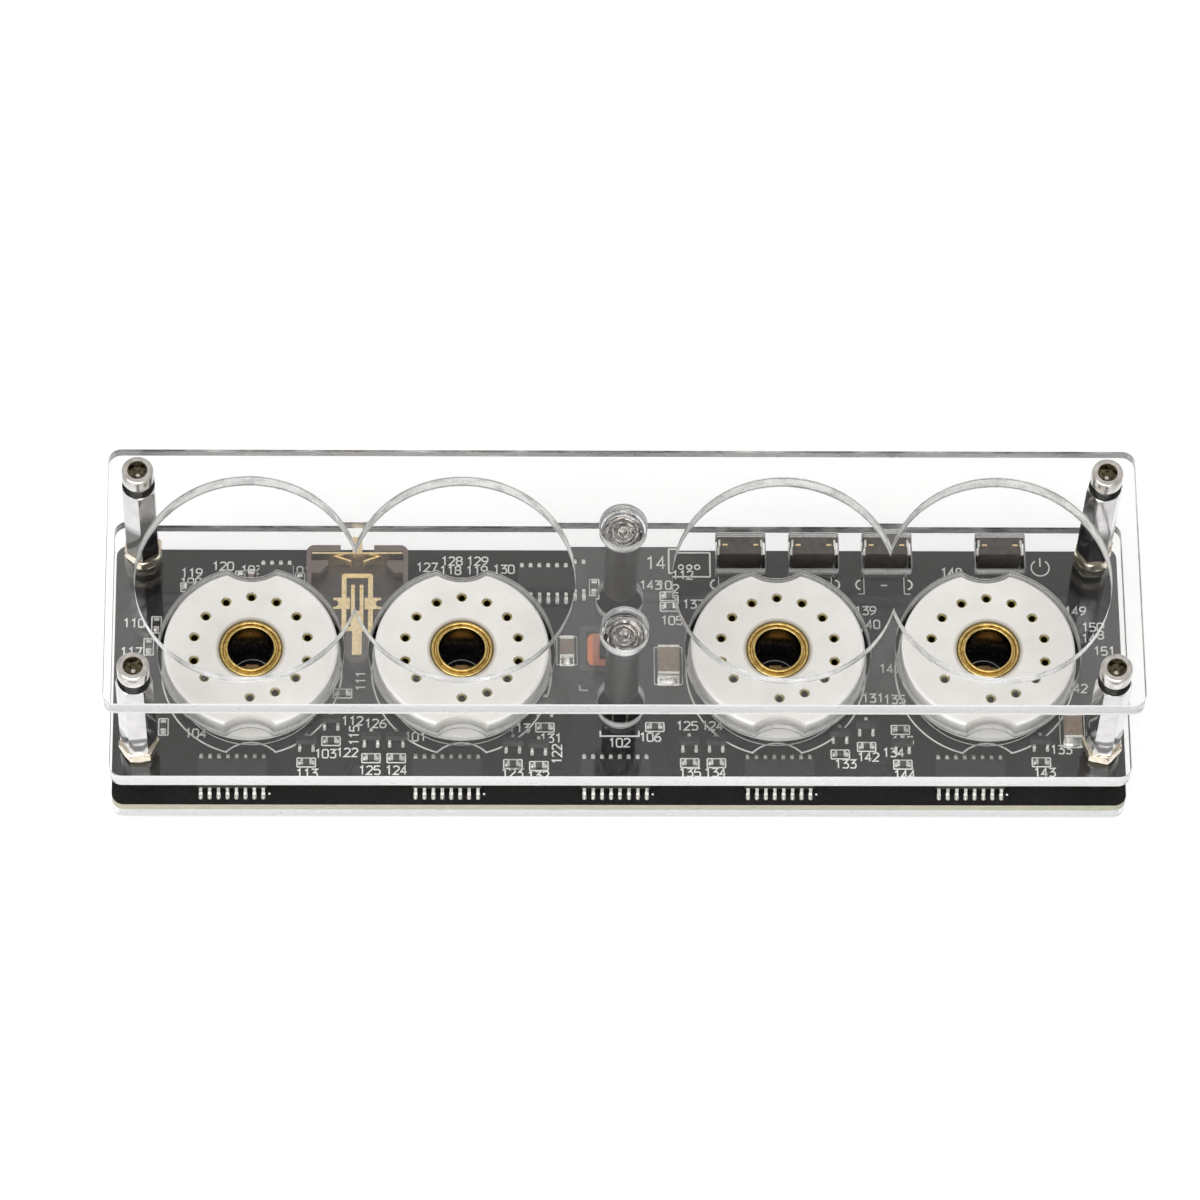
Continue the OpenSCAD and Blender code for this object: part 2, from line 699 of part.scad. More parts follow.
// Lower contact on the holder's floor: a frame with two fingers, side tangs and a front tab
module battery_contact_lower() {
    frame_w = 4.5;
    frame_l = 9.8;
    frame_r = 0.5;
    frame_reach = 5;
    rail = 0.7;
    finger_w = 0.55;
    finger_x = 0.62;
    finger_l = 4.2;
    root_w = 1.6;
    root_l = 3.8;
    tang_l = 2.4;
    tang_w = 1.8;
    tang_notch_r = 0.55;
    tang_notch_x = 1;
    tab_w = 1.4;
    tab_inset = 1.2;
    point_h = 0.35;
    frame_y = cell_y - frame_reach;
    tab_y = holder_rear_y - tongue_l + tab_inset;
    color([0.85, 0.72, 0.4]) translate([holder_x, 0, z_board_top + holder_base_t]) {
        linear_extrude(contact_t) {
            difference() {
                translate([0, frame_y + frame_l / 2]) rounded_rect(frame_w, frame_l, frame_r);
                translate([0, frame_y + frame_l / 2])
                    square([frame_w - 2 * rail, frame_l - 2 * rail], center = true);
            }
            translate([-root_w / 2, frame_y]) square([root_w, root_l]);
            for (side = [-1, 1]) {
                translate([side * finger_x - finger_w / 2, frame_y])
                    square([finger_w, root_l + finger_l]);
                difference() {
                    translate([side * frame_w / 2, cell_y]) square([tang_l, tang_w], center = true);
                    translate([side * (frame_w / 2 + tang_notch_x), cell_y]) circle(tang_notch_r);
                }
            }
            translate([-tab_w / 2, tab_y]) square([tab_w, frame_y + rail / 2 - tab_y]);
        }
        // Raised contact points at the ends of the fingers
        for (side = [-1, 1])
            translate([side * finger_x, frame_y + root_l + finger_l - finger_w, contact_t])
                cylinder(d = finger_w, h = point_h);
    }
}

// ---- Push buttons ----

module switch_body(x) {
    pocket_gap = 0.1;
    pocket_l = guide_l + plunger_travel + collar_t + pocket_gap;
    color([0.07, 0.07, 0.07]) translate([x, 0, 0]) difference() {
        translate([-switch_w / 2, switch_front_y, z_board_top])
            cube([switch_w, switch_d - cover_t, switch_h]);
        translate([0, switch_rear_y - cover_t - pocket_l, plunger_z]) rotate([-90, 0, 0])
            cylinder(d = collar_d + 2 * slide_clear, h = pocket_l + cut);
    }
}

// Steel cover plate over the switch's rear face, with a leg through the board at each side
module switch_frame(x) {
    cover_lift = 0.3;
    cover_drop = 0.1;
    leg_drop = 0.6;
    arm_lift = 1.5;
    arm_h = 2;
    leg_top = z_board_top + switch_h - leg_drop;
    leg_low = z_board - tail_out;
    color([0.78, 0.78, 0.78]) translate([x, 0, 0]) {
        difference() {
            translate([-switch_w / 2 - leg_t, switch_rear_y - cover_t, z_board_top + cover_lift])
                cube([switch_w + 2 * leg_t, cover_t, switch_h - cover_lift - cover_drop]);
            translate([0, switch_rear_y - cut, plunger_z]) rotate([-90, 0, 0])
                cylinder(d = plunger_d + 2 * slide_clear, h = 2 * cut);
        }
        for (side = [0, 1]) mirror([side, 0, 0]) translate([switch_w / 2, 0, 0]) {
            translate([0, leg_y - leg_w / 2, leg_low]) cube([leg_t, leg_w, leg_top - leg_low]);
            translate([0, leg_y - leg_w / 2, z_board_top + arm_lift])
                cube([leg_t, leg_setback + leg_w / 2 - cover_t, arm_h]);
        }
    }
}

// Plunger with the collar that keeps it behind the cover plate
module button(x) {
    edge = 0.2;
    color([0.1, 0.1, 0.1]) translate([x, switch_rear_y, plunger_z]) rotate([-90, 0, 0])
        rotate_extrude() polygon([
            [0, -cover_t - collar_t - guide_l], [plunger_d / 2, -cover_t - collar_t - guide_l],
            [plunger_d / 2, -cover_t - collar_t], [collar_d / 2, -cover_t - collar_t],
            [collar_d / 2, -cover_t], [plunger_d / 2, -cover_t],
            [plunger_d / 2, plunger_out - edge], [plunger_d / 2 - edge, plunger_out],
            [0, plunger_out]]);
}

// ---- Chips and small parts ----

module driver_chips() {
    color([0.12, 0.12, 0.12]) for (x = driver_x) translate([x, driver_y, 0]) so_body(8);
}

module controller_chip() {
    color([0.12, 0.12, 0.12]) translate(controller_at) so_body(8);
}

module clock_chip() {
    color([0.12, 0.12, 0.12]) translate(clock_at) so_body(4);
}

module chip_leads() {
    color([0.8, 0.8, 0.8]) {
        for (x = driver_x) translate([x, driver_y, 0]) so_leads(8);
        translate(controller_at) so_leads(8);
        translate(clock_at) so_leads(4);
    }
}

// Ferrite box, open at the top round its core post
module inductor_core() {
    wall = 0.9;
    corner = 0.4;
    color([0.2, 0.2, 0.2]) translate([inductor_at[0], inductor_at[1], z_board_top]) {
        difference() {
            linear_extrude(inductor_h) rounded_rect(inductor_w, inductor_w, corner);
            translate([0, 0, core_floor_t]) linear_extrude(inductor_h)
                square(inductor_w - 2 * wall, center = true);
        }
        translate([-post_w / 2, -post_l / 2, core_floor_t])
            cube([post_w, post_l, inductor_h - core_floor_t]);
    }
}

module inductor_coil() {
    coil_w = 5.1;
    coil_r = 1;
    coil_drop = 0.4;
    bore_gap = 0.1;
    color([0.85, 0.4, 0.2]) translate([inductor_at[0], inductor_at[1], z_board_top + core_floor_t])
        linear_extrude(inductor_h - core_floor_t - coil_drop) difference() {
            rounded_rect(coil_w, coil_w, coil_r);
            square([post_w + 2 * bore_gap, post_l + 2 * bore_gap], center = true);
        }
}

module capacitors() {
    color([0.62, 0.5, 0.38]) for (c = capacitors_at)
        translate([c[0], c[1], z_board_top + c[4] / 2])
            cube([c[2], c[3] - 2 * end_l, c[4]], center = true);
}

// Places of the chip resistors on the board, turned as they lie
module at_resistors() {
    for (p = concat(paired_at, lone_at)) translate([p[0], p[1], z_board_top]) children();
    for (p = turned_at) translate([p[0], p[1], z_board_top]) rotate(90) children();
}

module resistors() {
    color([0.1, 0.1, 0.1]) at_resistors() translate([0, 0, resistor_size[2] / 2])
        cube([resistor_size[0] - 2 * end_l, resistor_size[1], resistor_size[2]], center = true);
}

// Tinned ends of the resistors and capacitors
module component_ends() {
    color([0.85, 0.85, 0.83]) {
        at_resistors() for (side = [-1, 1])
            translate([side * (resistor_size[0] - end_l) / 2, 0, resistor_size[2] / 2])
                cube([end_l, resistor_size[1], resistor_size[2]], center = true);
        for (c = capacitors_at, side = [-1, 1])
            translate([c[0], c[1] + side * (c[3] - end_l) / 2, z_board_top + c[4] / 2])
                cube([c[2], end_l, c[4]], center = true);
    }
}

module transistors() {
    color([0.12, 0.12, 0.12]) for (p = paired_at)
        translate([p[0], p[1] + transistor_dy, z_board_top + transistor_lift])
            chip_body(transistor_size[0], transistor_size[1], transistor_size[2]);
}

module transistor_leads() {
    lead_w = 0.4;
    lead_t = 0.15;
    reach = (transistor_span - transistor_size[1]) / 2;
    rise = transistor_lift + transistor_size[2] / 2 + lead_t / 2;
    // One lead behind, two in front; each entry is [x, turn]
    color([0.8, 0.8, 0.8]) for (p = paired_at, at = [[0, 0], [-1, 180], [1, 180]])
        translate([p[0] + at[0] * transistor_pitch, p[1] + transistor_dy, z_board_top]) rotate(at[1])
            translate([0, transistor_span / 2, 0]) gull_lead(reach, rise, lead_w, lead_t);
}

// ---- Power input, under the board's rear edge ----

module power_shell() {
    color([0.78, 0.78, 0.78])
        translate([-power_w / 2, board_d / 2 - power_d, z_board - power_h]) difference() {
            cube([power_w, power_d, power_h]);
            translate([shell_t, shell_back_t, shell_t])
                cube([power_w - 2 * shell_t, power_d, power_h - 2 * shell_t]);
        }
}

module power_tongue() {
    tongue = [4, 3.6, 0.7];
    color([0.06, 0.06, 0.06]) translate([
        -tongue[0] / 2, board_d / 2 - power_d + shell_back_t, z_board - shell_t - tongue[2]])
        cube(tongue);
}

bottom_plate();
circuit_board();
mid_plate();
top_plate();
bottom_screws();
board_spacers();
stack_nuts();
standoffs();
top_screws();
socket(tube_x[0]);  // socket_1
socket(tube_x[1]);  // socket_2
socket(tube_x[2]);  // socket_3
socket(tube_x[3]);  // socket_4
socket_contacts(tube_x[0]);  // socket_contacts_1
socket_contacts(tube_x[1]);  // socket_contacts_2
socket_contacts(tube_x[2]);  // socket_contacts_3
socket_contacts(tube_x[3]);  // socket_contacts_4
socket_sleeve(tube_x[0]);  // socket_sleeve_1
socket_sleeve(tube_x[1]);  // socket_sleeve_2
socket_sleeve(tube_x[2]);  // socket_sleeve_3
socket_sleeve(tube_x[3]);  // socket_sleeve_4
tube_leds();
lamp_glass(-lamp_y);  // lamp_glass_front
lamp_glass(lamp_y);  // lamp_glass_rear
lamp_electrodes(-lamp_y);  // lamp_electrodes_front
lamp_electrodes(lamp_y);  // lamp_electrodes_rear
lamp_sleeve(-lamp_y);  // lamp_sleeve_front
lamp_sleeve(lamp_y);  // lamp_sleeve_rear
battery_holder();
battery_contact_upper();
battery_contact_lower();
switch_body(switch_x[0]);  // switch_body_1
switch_body(switch_x[1]);  // switch_body_2
switch_body(switch_x[2]);  // switch_body_3
switch_body(switch_x[3]);  // switch_body_4
switch_frame(switch_x[0]);  // switch_frame_1
switch_frame(switch_x[1]);  // switch_frame_2
switch_frame(switch_x[2]);  // switch_frame_3
switch_frame(switch_x[3]);  // switch_frame_4
button(switch_x[0]);  // button_1
button(switch_x[1]);  // button_2
button(switch_x[2]);  // button_3
button(switch_x[3]);  // button_4
driver_chips();
controller_chip();
clock_chip();
chip_leads();
inductor_core();
inductor_coil();
capacitors();
resistors();
component_ends();
transistors();
transistor_leads();
power_shell();
power_tongue();
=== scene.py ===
"""Looks of the four-digit nixie tube clock without its tubes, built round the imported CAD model.

Places and sizes below are in millimetres in the model's frame: +X right, +Y to the rear, +Z up.
Blender's own metres are made in one place, where a mesh or a light is finished.
"""

import math
import random

import bmesh
import bpy
from mathutils import Matrix, Vector

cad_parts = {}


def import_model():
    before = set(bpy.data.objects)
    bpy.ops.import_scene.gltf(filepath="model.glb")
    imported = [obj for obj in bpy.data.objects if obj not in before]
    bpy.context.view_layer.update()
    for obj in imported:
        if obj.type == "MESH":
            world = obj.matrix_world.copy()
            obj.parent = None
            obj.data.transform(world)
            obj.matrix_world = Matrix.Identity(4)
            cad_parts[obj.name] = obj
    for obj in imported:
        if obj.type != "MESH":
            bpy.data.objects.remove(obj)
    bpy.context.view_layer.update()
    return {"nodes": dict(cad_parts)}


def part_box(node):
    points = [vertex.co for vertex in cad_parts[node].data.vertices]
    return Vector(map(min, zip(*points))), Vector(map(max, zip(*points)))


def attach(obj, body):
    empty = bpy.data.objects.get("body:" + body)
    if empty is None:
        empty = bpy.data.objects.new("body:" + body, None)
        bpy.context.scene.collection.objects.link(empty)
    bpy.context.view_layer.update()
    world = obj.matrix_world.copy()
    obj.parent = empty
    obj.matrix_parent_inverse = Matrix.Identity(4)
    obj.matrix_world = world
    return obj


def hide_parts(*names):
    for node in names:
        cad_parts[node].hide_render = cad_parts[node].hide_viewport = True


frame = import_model()
MM = 0.001


def corners(node):
    """Lowest and highest corner of a CAD node, in millimetres."""
    low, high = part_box(node)
    return low / MM, high / MM


def middle(node):
    """Centre of a CAD node's box, in millimetres."""
    low, high = corners(node)
    return (low + high) / 2


def solids(node):
    """Boxes of a CAD node's separate solids, as (low, high) corners in millimetres."""
    built = bmesh.new()
    built.from_mesh(frame["nodes"][node].data)
    bmesh.ops.remove_doubles(built, verts=built.verts, dist=1e-6)
    left = set(built.verts)
    boxes = []
    while left:
        reached = [left.pop()]
        for vert in reached:
            for edge in vert.link_edges:
                other = edge.other_vert(vert)
                if other in left:
                    left.remove(other)
                    reached.append(other)
        low = [min(v.co[k] for v in reached) / MM for k in range(3)]
        high = [max(v.co[k] for v in reached) / MM for k in range(3)]
        boxes.append((Vector(low), Vector(high)))
    built.free()
    return sorted(boxes, key=lambda box: tuple(box[0]))


# ---- Places taken from the frame ----

Z_BOARD = corners("circuit_board")[1].z
Z_MID_TOP = corners("mid_plate")[1].z
Z_TOP = corners("top_plate")[1].z
Z_SOCKET = corners("socket_1")[1].z
TUBES = [middle(f"socket_sleeve_{n}").x for n in range(1, 5)]
SWITCHES = [middle(f"button_{n}").x for n in range(1, 5)]
LAMPS = [(0, middle(f"lamp_sleeve_{end}").y) for end in ("front", "rear")]

# The cap screws on the corner stacks; their key sockets by the flats and by a circle round the corners
CAP_HEAD_D = 4.5
KEY_R = 1.2
KEY_MARGIN = 0.02
KEY_REACH = KEY_R / math.cos(math.pi / 6) + KEY_MARGIN
STACK_X = corners("top_screws")[1].x - CAP_HEAD_D / 2
STACK_Y = corners("top_screws")[1].y - CAP_HEAD_D / 2
STACKS = [(x, y) for x in (-STACK_X, STACK_X) for y in (-STACK_Y, STACK_Y)]

# ---- Mesh building ----


def arc(centre, radius, start, end, steps):
    """Points of an arc, angles in degrees."""
    angles = [math.radians(start + (end - start) * k / steps) for k in range(steps + 1)]
    return [(centre[0] + radius * math.cos(a), centre[1] + radius * math.sin(a)) for a in angles]


def rounded_box(w, d, r, steps, centre):
    """Outline of a rectangle with rounded corners, anticlockwise."""
    x, y = w / 2 - r, d / 2 - r
    at = [(x, y, 0), (-x, y, 90), (-x, -y, 180), (x, -y, 270)]
    return [p for cx, cy, a in at for p in arc((centre[0] + cx, centre[1] + cy), r, a, a + 90, steps)]


class Piece:
    """A mesh under construction, in millimetres."""

    def __init__(self):
        self.bm = bmesh.new()

    def lathe(self, profile, at, steps):
        """Turns a closed profile of (radius, height) round the vertical axis at a place."""
        rings = []
        for r, z in profile:
            if r < 1e-6:
                rings.append([self.bm.verts.new((at[0], at[1], z))])
                continue
            turns = [2 * math.pi * k / steps for k in range(steps)]
            rings.append([self.bm.verts.new((at[0] + r * math.cos(a), at[1] + r * math.sin(a), z))
                          for a in turns])
        for low, high in zip(rings, rings[1:] + rings[:1]):
            if len(low) == 1 and len(high) == 1:
                continue
            for k in range(steps):
                j = (k + 1) % steps
                around = [low[k % len(low)], low[j % len(low)],
                          high[j % len(high)], high[k % len(high)]]
                self.bm.faces.new(list(dict.fromkeys(around)))
        return self

    def prism(self, outline, low, high, place=Matrix.Identity(4)):
        """Extrudes a closed outline from one height to another."""
        base = [self.bm.verts.new(place @ Vector((x, y, low))) for x, y in outline]
        top = [self.bm.verts.new(place @ Vector((x, y, high))) for x, y in outline]
        self.bm.faces.new(base[::-1])
        self.bm.faces.new(top)
        for k in range(len(base)):
            j = (k + 1) % len(base)
            self.bm.faces.new([base[k], base[j], top[j], top[k]])

    def box(self, centre, size, turn=0):
        """A box by its centre and size, turned about Z by degrees."""
        place = Matrix.Translation(centre) @ Matrix.Rotation(math.radians(turn), 4, "Z")
        w, d, h = size
        outline = [(-w / 2, -d / 2), (w / 2, -d / 2), (w / 2, d / 2), (-w / 2, d / 2)]
        self.prism(outline, -h / 2, h / 2, place)

    def stroke(self, points, width, low, high, closed=False):
        """A flat line of some width along the points, its corners mitred."""
        least_cosine = 0.35
        points = [Vector(p) for p in points]
        count = len(points)
        sides = []
        for k, here in enumerate(points):
            ahead = points[(k + 1) % count] if closed or k < count - 1 else None
            back = points[k - 1] if closed or k else None
            into = (here - back).normalized() if back is not None else (ahead - here).normalized()
            out = (ahead - here).normalized() if ahead is not None else into
            mean = (into + out).normalized()
            reach = width / 2 / max(least_cosine, mean.dot(into))
            normal = Vector((-mean.y, mean.x)) * reach
            sides.append([self.bm.verts.new((*(here + normal * s), z))
                          for s, z in ((1, high), (-1, high), (-1, low), (1, low))])
        pairs = list(zip(sides, sides[1:] + ([sides[0]] if closed else [])))
        for first, second in pairs:
            for a in range(4):
                b = (a + 1) % 4
                self.bm.faces.new([first[a], first[b], second[b], second[a]])
        if not closed:
            self.bm.faces.new(sides[0][::-1])
            self.bm.faces.new(sides[-1])

    def dome(self, centre, size):
        """A low oval drop of solder, flat below: size is its width, length and height."""
        steps, tiers = 10, 4
        x, y, z = centre
        w, d, h = size
        turns = [2 * math.pi * k / steps for k in range(steps)]
        rings = []
        for tier in range(tiers):
            a = math.radians(90 * tier / tiers)
            rings.append([self.bm.verts.new((x + w / 2 * math.cos(a) * math.cos(t),
                                             y + d / 2 * math.cos(a) * math.sin(t),
                                             z + h * math.sin(a))) for t in turns])
        tip = self.bm.verts.new((x, y, z + h))
        for low, high in zip(rings, rings[1:]):
            for k in range(steps):
                j = (k + 1) % steps
                self.bm.faces.new([low[k], low[j], high[j], high[k]])
        for k in range(steps):
            self.bm.faces.new([rings[-1][k], rings[-1][(k + 1) % steps], tip])
        self.bm.faces.new(rings[0][::-1])

    def object(self, name, surface, bevel=0, angle=35):
        """Makes the object, in metres, with its material."""
        bmesh.ops.recalc_face_normals(self.bm, faces=self.bm.faces)
        mesh = bpy.data.meshes.new(name)
        self.bm.to_mesh(mesh)
        self.bm.free()
        mesh.transform(Matrix.Scale(MM, 4))
        mesh.materials.append(surface)
        made = bpy.data.objects.new(name, mesh)
        bpy.context.scene.collection.objects.link(made)
        if bevel:
            edges = made.modifiers.new("edges", "BEVEL")
            edges.width = bevel * MM
            edges.segments = 2
            edges.limit_method = "ANGLE"
            edges.angle_limit = math.radians(angle)
        mesh.shade_smooth()
        mesh.set_sharp_from_angle(angle=math.radians(angle))
        return made

    def finish(self, name, surface, slot, bevel=0, replaces=(), angle=35):
        """Makes the object and lets it ride on the base; its slot is not used."""
        made = self.object(name, surface, bevel, angle)
        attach(made, "base")
        if replaces:
            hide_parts(*replaces)


# ---- Materials ----

WHITE = (1, 1, 1)
CLEAR = (0.995, 0.995, 0.99)
# A Mix node's sockets for colours, by number: it has others of the same names
MIX_FACTOR, MIX_FIRST, MIX_SECOND, MIX_RESULT = 0, 6, 7, 2


def grey(value):
    """A colour with three equal parts."""
    return (value,) * 3


def add_node(tree, kind, inputs=None, **settings):
    """Adds a shader node; each input is given a value or linked to another node's output."""
    node = tree.nodes.new("ShaderNode" + kind)
    for key, value in settings.items():
        setattr(node, key, value)
    for key, value in (inputs or {}).items():
        if isinstance(value, bpy.types.NodeSocket):
            tree.links.new(value, node.inputs[key])
        else:
            node.inputs[key].default_value = value
    return node


def add_ramp(tree, value, stops):
    """Colours along a value: each stop is (position, (r, g, b))."""
    node = add_node(tree, "ValToRGB", {"Fac": value})
    band = node.color_ramp
    while len(band.elements) < len(stops):
        band.elements.new(0.5)
    for element, (position, colour) in zip(band.elements, stops):
        element.position = position
        element.color = (*colour, 1)
    return node.outputs["Color"]


class Surface:
    """A Principled material, with short calls for the nodes that feed it. Sizes in millimetres."""

    def __init__(self, name, colour, roughness, metallic=0.0, **constants):
        self.material = bpy.data.materials.new(name)
        self.material.use_nodes = True
        self.tree = self.material.node_tree
        self.shader = self.tree.nodes["Principled BSDF"]
        self.shader.inputs["Base Color"].default_value = (*colour, 1)
        self.shader.inputs["Roughness"].default_value = roughness
        self.shader.inputs["Metallic"].default_value = metallic
        for key, value in constants.items():
            self.shader.inputs[key.replace("_", " ")].default_value = value
        self.place = self.add("TexCoord").outputs["Object"]

    def add(self, kind, inputs=None, **settings):
        return add_node(self.tree, kind, inputs, **settings)

    def noise(self, size, detail=3.0, stretch=(1, 1, 1), roughness=0.5):
        """Noise with features about size long; stretch lengthens them along an axis, 0 endlessly."""
        scale = [1 / (size * MM * s) if s else 0 for s in stretch]
        place = self.add("Mapping", {"Vector": self.place, "Scale": scale})
        node = self.add("TexNoise", {"Vector": place.outputs[0], "Scale": 1.0, "Detail": detail,
                                     "Roughness": roughness})
        return node.outputs["Fac"]

    def axis(self, letter):
        """A coordinate of the point in the model's frame, in metres."""
        return self.add("SeparateXYZ", {"Vector": self.place}).outputs[letter]

    def normal(self, letter):
        """A part of the face's own direction, before any smoothing."""
        normal = self.add("NewGeometry").outputs["True Normal"]
        return self.add("SeparateXYZ", {"Vector": normal}).outputs[letter]

    def remap(self, value, from_low, from_high, low, high):
        node = self.add("MapRange", {"Value": value, "From Min": from_low, "From Max": from_high,
                                     "To Min": low, "To Max": high})
        return node.outputs["Result"]

    def math(self, operation, a, b=0.0):
        return self.add("Math", {0: a, 1: b}, operation=operation).outputs[0]

    def length(self, x, y):
        """How far a place in plan is from the origin."""
        squares = [self.math("MULTIPLY", value, value) for value in (x, y)]
        return self.math("SQRT", self.math("ADD", *squares))

    def ramp(self, value, *stops):
        return add_ramp(self.tree, value, stops)

    def mix(self, factor, first, second, blend="MIX"):
        """Mixes two colours, each an (r, g, b) or a node's output."""
        inputs = {MIX_FACTOR: factor, MIX_FIRST: first, MIX_SECOND: second}
        for key in (MIX_FIRST, MIX_SECOND):
            if isinstance(inputs[key], tuple):
                inputs[key] = (*inputs[key], 1)
        return self.add("Mix", inputs, data_type="RGBA", blend_type=blend).outputs[MIX_RESULT]

    def facing_side(self):
        """1 on upright faces, 0 on level ones."""
        return self.math("LESS_THAN", self.math("ABSOLUTE", self.normal("Z")), 0.5)

    def set(self, socket, value):
        self.tree.links.new(value, self.shader.inputs[socket])

    def bump(self, height, depth):
        node = self.add("Bump", {"Height": height, "Strength": 1.0, "Distance": depth * MM})
        self.set("Normal", node.outputs["Normal"])


# Each plate's laser-cut edge: the grey of the painted shade lines in its holes, the grey of its front
# edge, and the least frost in its holes
PLATE_EDGES = {"bottom_plate": (0.06, 0.68, 0.45), "mid_plate": (0.06, 0.86, 0.85),
               "top_plate": (0.3, 0.64, 0.45)}
STRAIGHT_EDGE = 0.25


def hole_wall(s, height, ribs, shade):
    """A hole's wall: pale and finely ribbed, with a line of painted shade near its foot and one near its
    top.
    """
    dark = grey(shade)
    # Painted shade: the two dark bands of this ramp
    lines = s.ramp(height, (0.0, WHITE), (0.05, WHITE), (0.07, dark), (0.13, dark), (0.2, grey(0.98)),
                   (0.82, WHITE), (0.86, dark), (0.91, dark), (0.94, WHITE))
    ribbed = s.ramp(ribs, (0.3, (0.84, 0.84, 0.83)), (0.55, (1, 1, 0.99)))
    return s.mix(1.0, ribbed, lines, "MULTIPLY")


def front_edge(s, height, body):
    """A plate's front edge: even grey, with a warm painted highlight along its foot and a pale painted
    highlight along its top.
    """
    warm = (0.85, 0.84, 0.80)
    # Painted highlights: the warm foot and the pale top of this ramp
    return s.ramp(height, (0.0, warm), (0.12, warm), (0.2, grey(body - 0.03)),
                  (0.78, grey(body + 0.04)), (0.9, (0.92, 0.92, 0.91)))


def rear_edge(s, height):
    """A plate's rear edge: even grey, and along its top a dark, broken painted reflection of the room.
    """
    along = s.noise(12.0, detail=3.0, stretch=(1, 0, 0), roughness=0.6)
    # Painted reflection of the room: dark patches along the top of the rear edge
    room_reflection = s.ramp(along, (0.44, (0.04, 0.04, 0.045)), (0.54, (0.40, 0.40, 0.41)), (0.62, grey(0.72)))
    return s.mix(s.remap(height, 0.6, 0.7, 0, 1), (0.42, 0.42, 0.43), room_reflection)


def acrylic(name):
    """Clear cast sheet: polished faces, and laser-cut edges, frosted in fine upright ribs.

    The walls that face the rear are the clearest.
    """
    low, high = corners(name)
    shade, body, least_frost = PLATE_EDGES[name]
    s = Surface(name, CLEAR, 0.0, Transmission_Weight=1.0, IOR=1.49)
    side = s.facing_side()
    front = s.math("LESS_THAN", s.axis("Y"), (low.y + STRAIGHT_EDGE) * MM)
    rear = s.math("GREATER_THAN", s.axis("Y"), (high.y - STRAIGHT_EDGE) * MM)
    height = s.remap(s.axis("Z"), low.z * MM, high.z * MM, 0, 1)
    ribs = s.noise(0.22, detail=2.0, stretch=(1, 1, 0))
    bands = s.noise(3.0, detail=2.0, stretch=(1, 1, 0.5))
    # The edges' colours hold painted shade lines in the holes, painted highlights on the front edge and
    # a painted reflection on the rear edge
    edge = s.mix(front, hole_wall(s, height, ribs, shade), front_edge(s, height, body))
    edge = s.mix(rear, edge, rear_edge(s, height))
    s.set("Base Color", s.mix(side, CLEAR, edge))
    cloudy = s.remap(s.normal("Y"), 0.1, 0.4, 1.0, 0.35)
    holes = s.math("MULTIPLY", cloudy, s.remap(bands, 0.3, 0.7, least_frost, 0.88))
    straight = s.math("MULTIPLY", s.math("MAXIMUM", front, rear), 0.9)
    frost = s.math("MULTIPLY", side, s.math("MAXIMUM", holes, straight))
    s.set("Transmission Weight", s.math("SUBTRACT", 1.0, frost))
    s.set("Roughness", s.math("MULTIPLY", side, s.remap(bands, 0.35, 0.65, 0.2, 0.4)))
    s.bump(s.math("MULTIPLY", ribs, side), 0.03)
    return s.material


def tube_offsets(s):
    """How far a point is from the nearest tube axis: to the side, and in all, in millimetres."""
    pair_middle = (TUBES[2] + TUBES[3]) / 2
    half_pitch = (TUBES[3] - TUBES[2]) / 2
    from_middle = s.math("ABSOLUTE", s.axis("X"))
    from_pair = s.math("ABSOLUTE", s.math("SUBTRACT", from_middle, pair_middle * MM))
    across = s.math("ABSOLUTE", s.math("SUBTRACT", from_pair, half_pitch * MM))
    radius = s.length(across, s.axis("Y"))
    return s.math("DIVIDE", across, MM), s.math("DIVIDE", radius, MM)


def ceramic():
    """Off-white glazed steatite: faint clouds and specks, a paler rim that is a painted highlight, and a
    tan ring of painted shade round the brass.
    """
    rim_highlight_r, brass_shadow_r, fade = 11.7, 4.6, 0.5
    s = Surface("ceramic", (0.8, 0.78, 0.74), 0.32, Specular_IOR_Level=0.4)
    clouds = s.ramp(s.noise(5, detail=4), (0.3, (0.80, 0.775, 0.735)), (0.7, (0.87, 0.85, 0.81)))
    specks = s.remap(s.noise(0.25, detail=2), 0.68, 0.76, 0, 0.35)
    radius = tube_offsets(s)[1]
    # Painted highlight: a paler band along the socket's rim
    rim = s.mix(s.remap(radius, rim_highlight_r, rim_highlight_r + fade, 0, 0.5), clouds, (0.92, 0.915, 0.90))
    # Painted shade: a tan ring round the brass sleeve
    brass_shadow = s.mix(s.remap(radius, brass_shadow_r, brass_shadow_r + fade, 0.75, 0), rim, (0.30, 0.235, 0.13))
    s.set("Base Color", s.mix(specks, brass_shadow, (0.42, 0.36, 0.28)))
    s.set("Roughness", s.remap(s.noise(1.5), 0.3, 0.7, 0.26, 0.45))
    s.bump(s.noise(0.6, detail=4), 0.014)
    return s.material


def solder_mask():
    """Matt black board with a fine grain in its mask, and a bare tan edge where the fibre shows."""
    s = Surface("solder_mask", (0.009, 0.009, 0.009), 0.6, Specular_IOR_Level=0.2)
    side = s.facing_side()
    fibre = s.ramp(s.noise(0.25, detail=3, stretch=(8, 8, 0.6)),
                   (0.3, (0.42, 0.41, 0.31)), (0.7, (0.62, 0.60, 0.48)))
    mask = s.ramp(s.noise(0.35, detail=3), (0.35, (0.006, 0.006, 0.006)), (0.7, (0.013, 0.0125, 0.012)))
    s.set("Base Color", s.mix(side, mask, fibre))
    s.set("Roughness", s.remap(s.noise(0.8), 0.3, 0.7, 0.5, 0.68))
    s.bump(s.noise(0.16, detail=3), 0.008)
    return s.material


def ink():
    """White silkscreen ink, a little uneven."""
    s = Surface("silkscreen_ink", (0.8, 0.8, 0.78), 0.55)
    s.set("Base Color", s.ramp(s.noise(0.12), (0.25, (0.6, 0.6, 0.58)), (0.45, (0.93, 0.93, 0.9))))
    return s.material


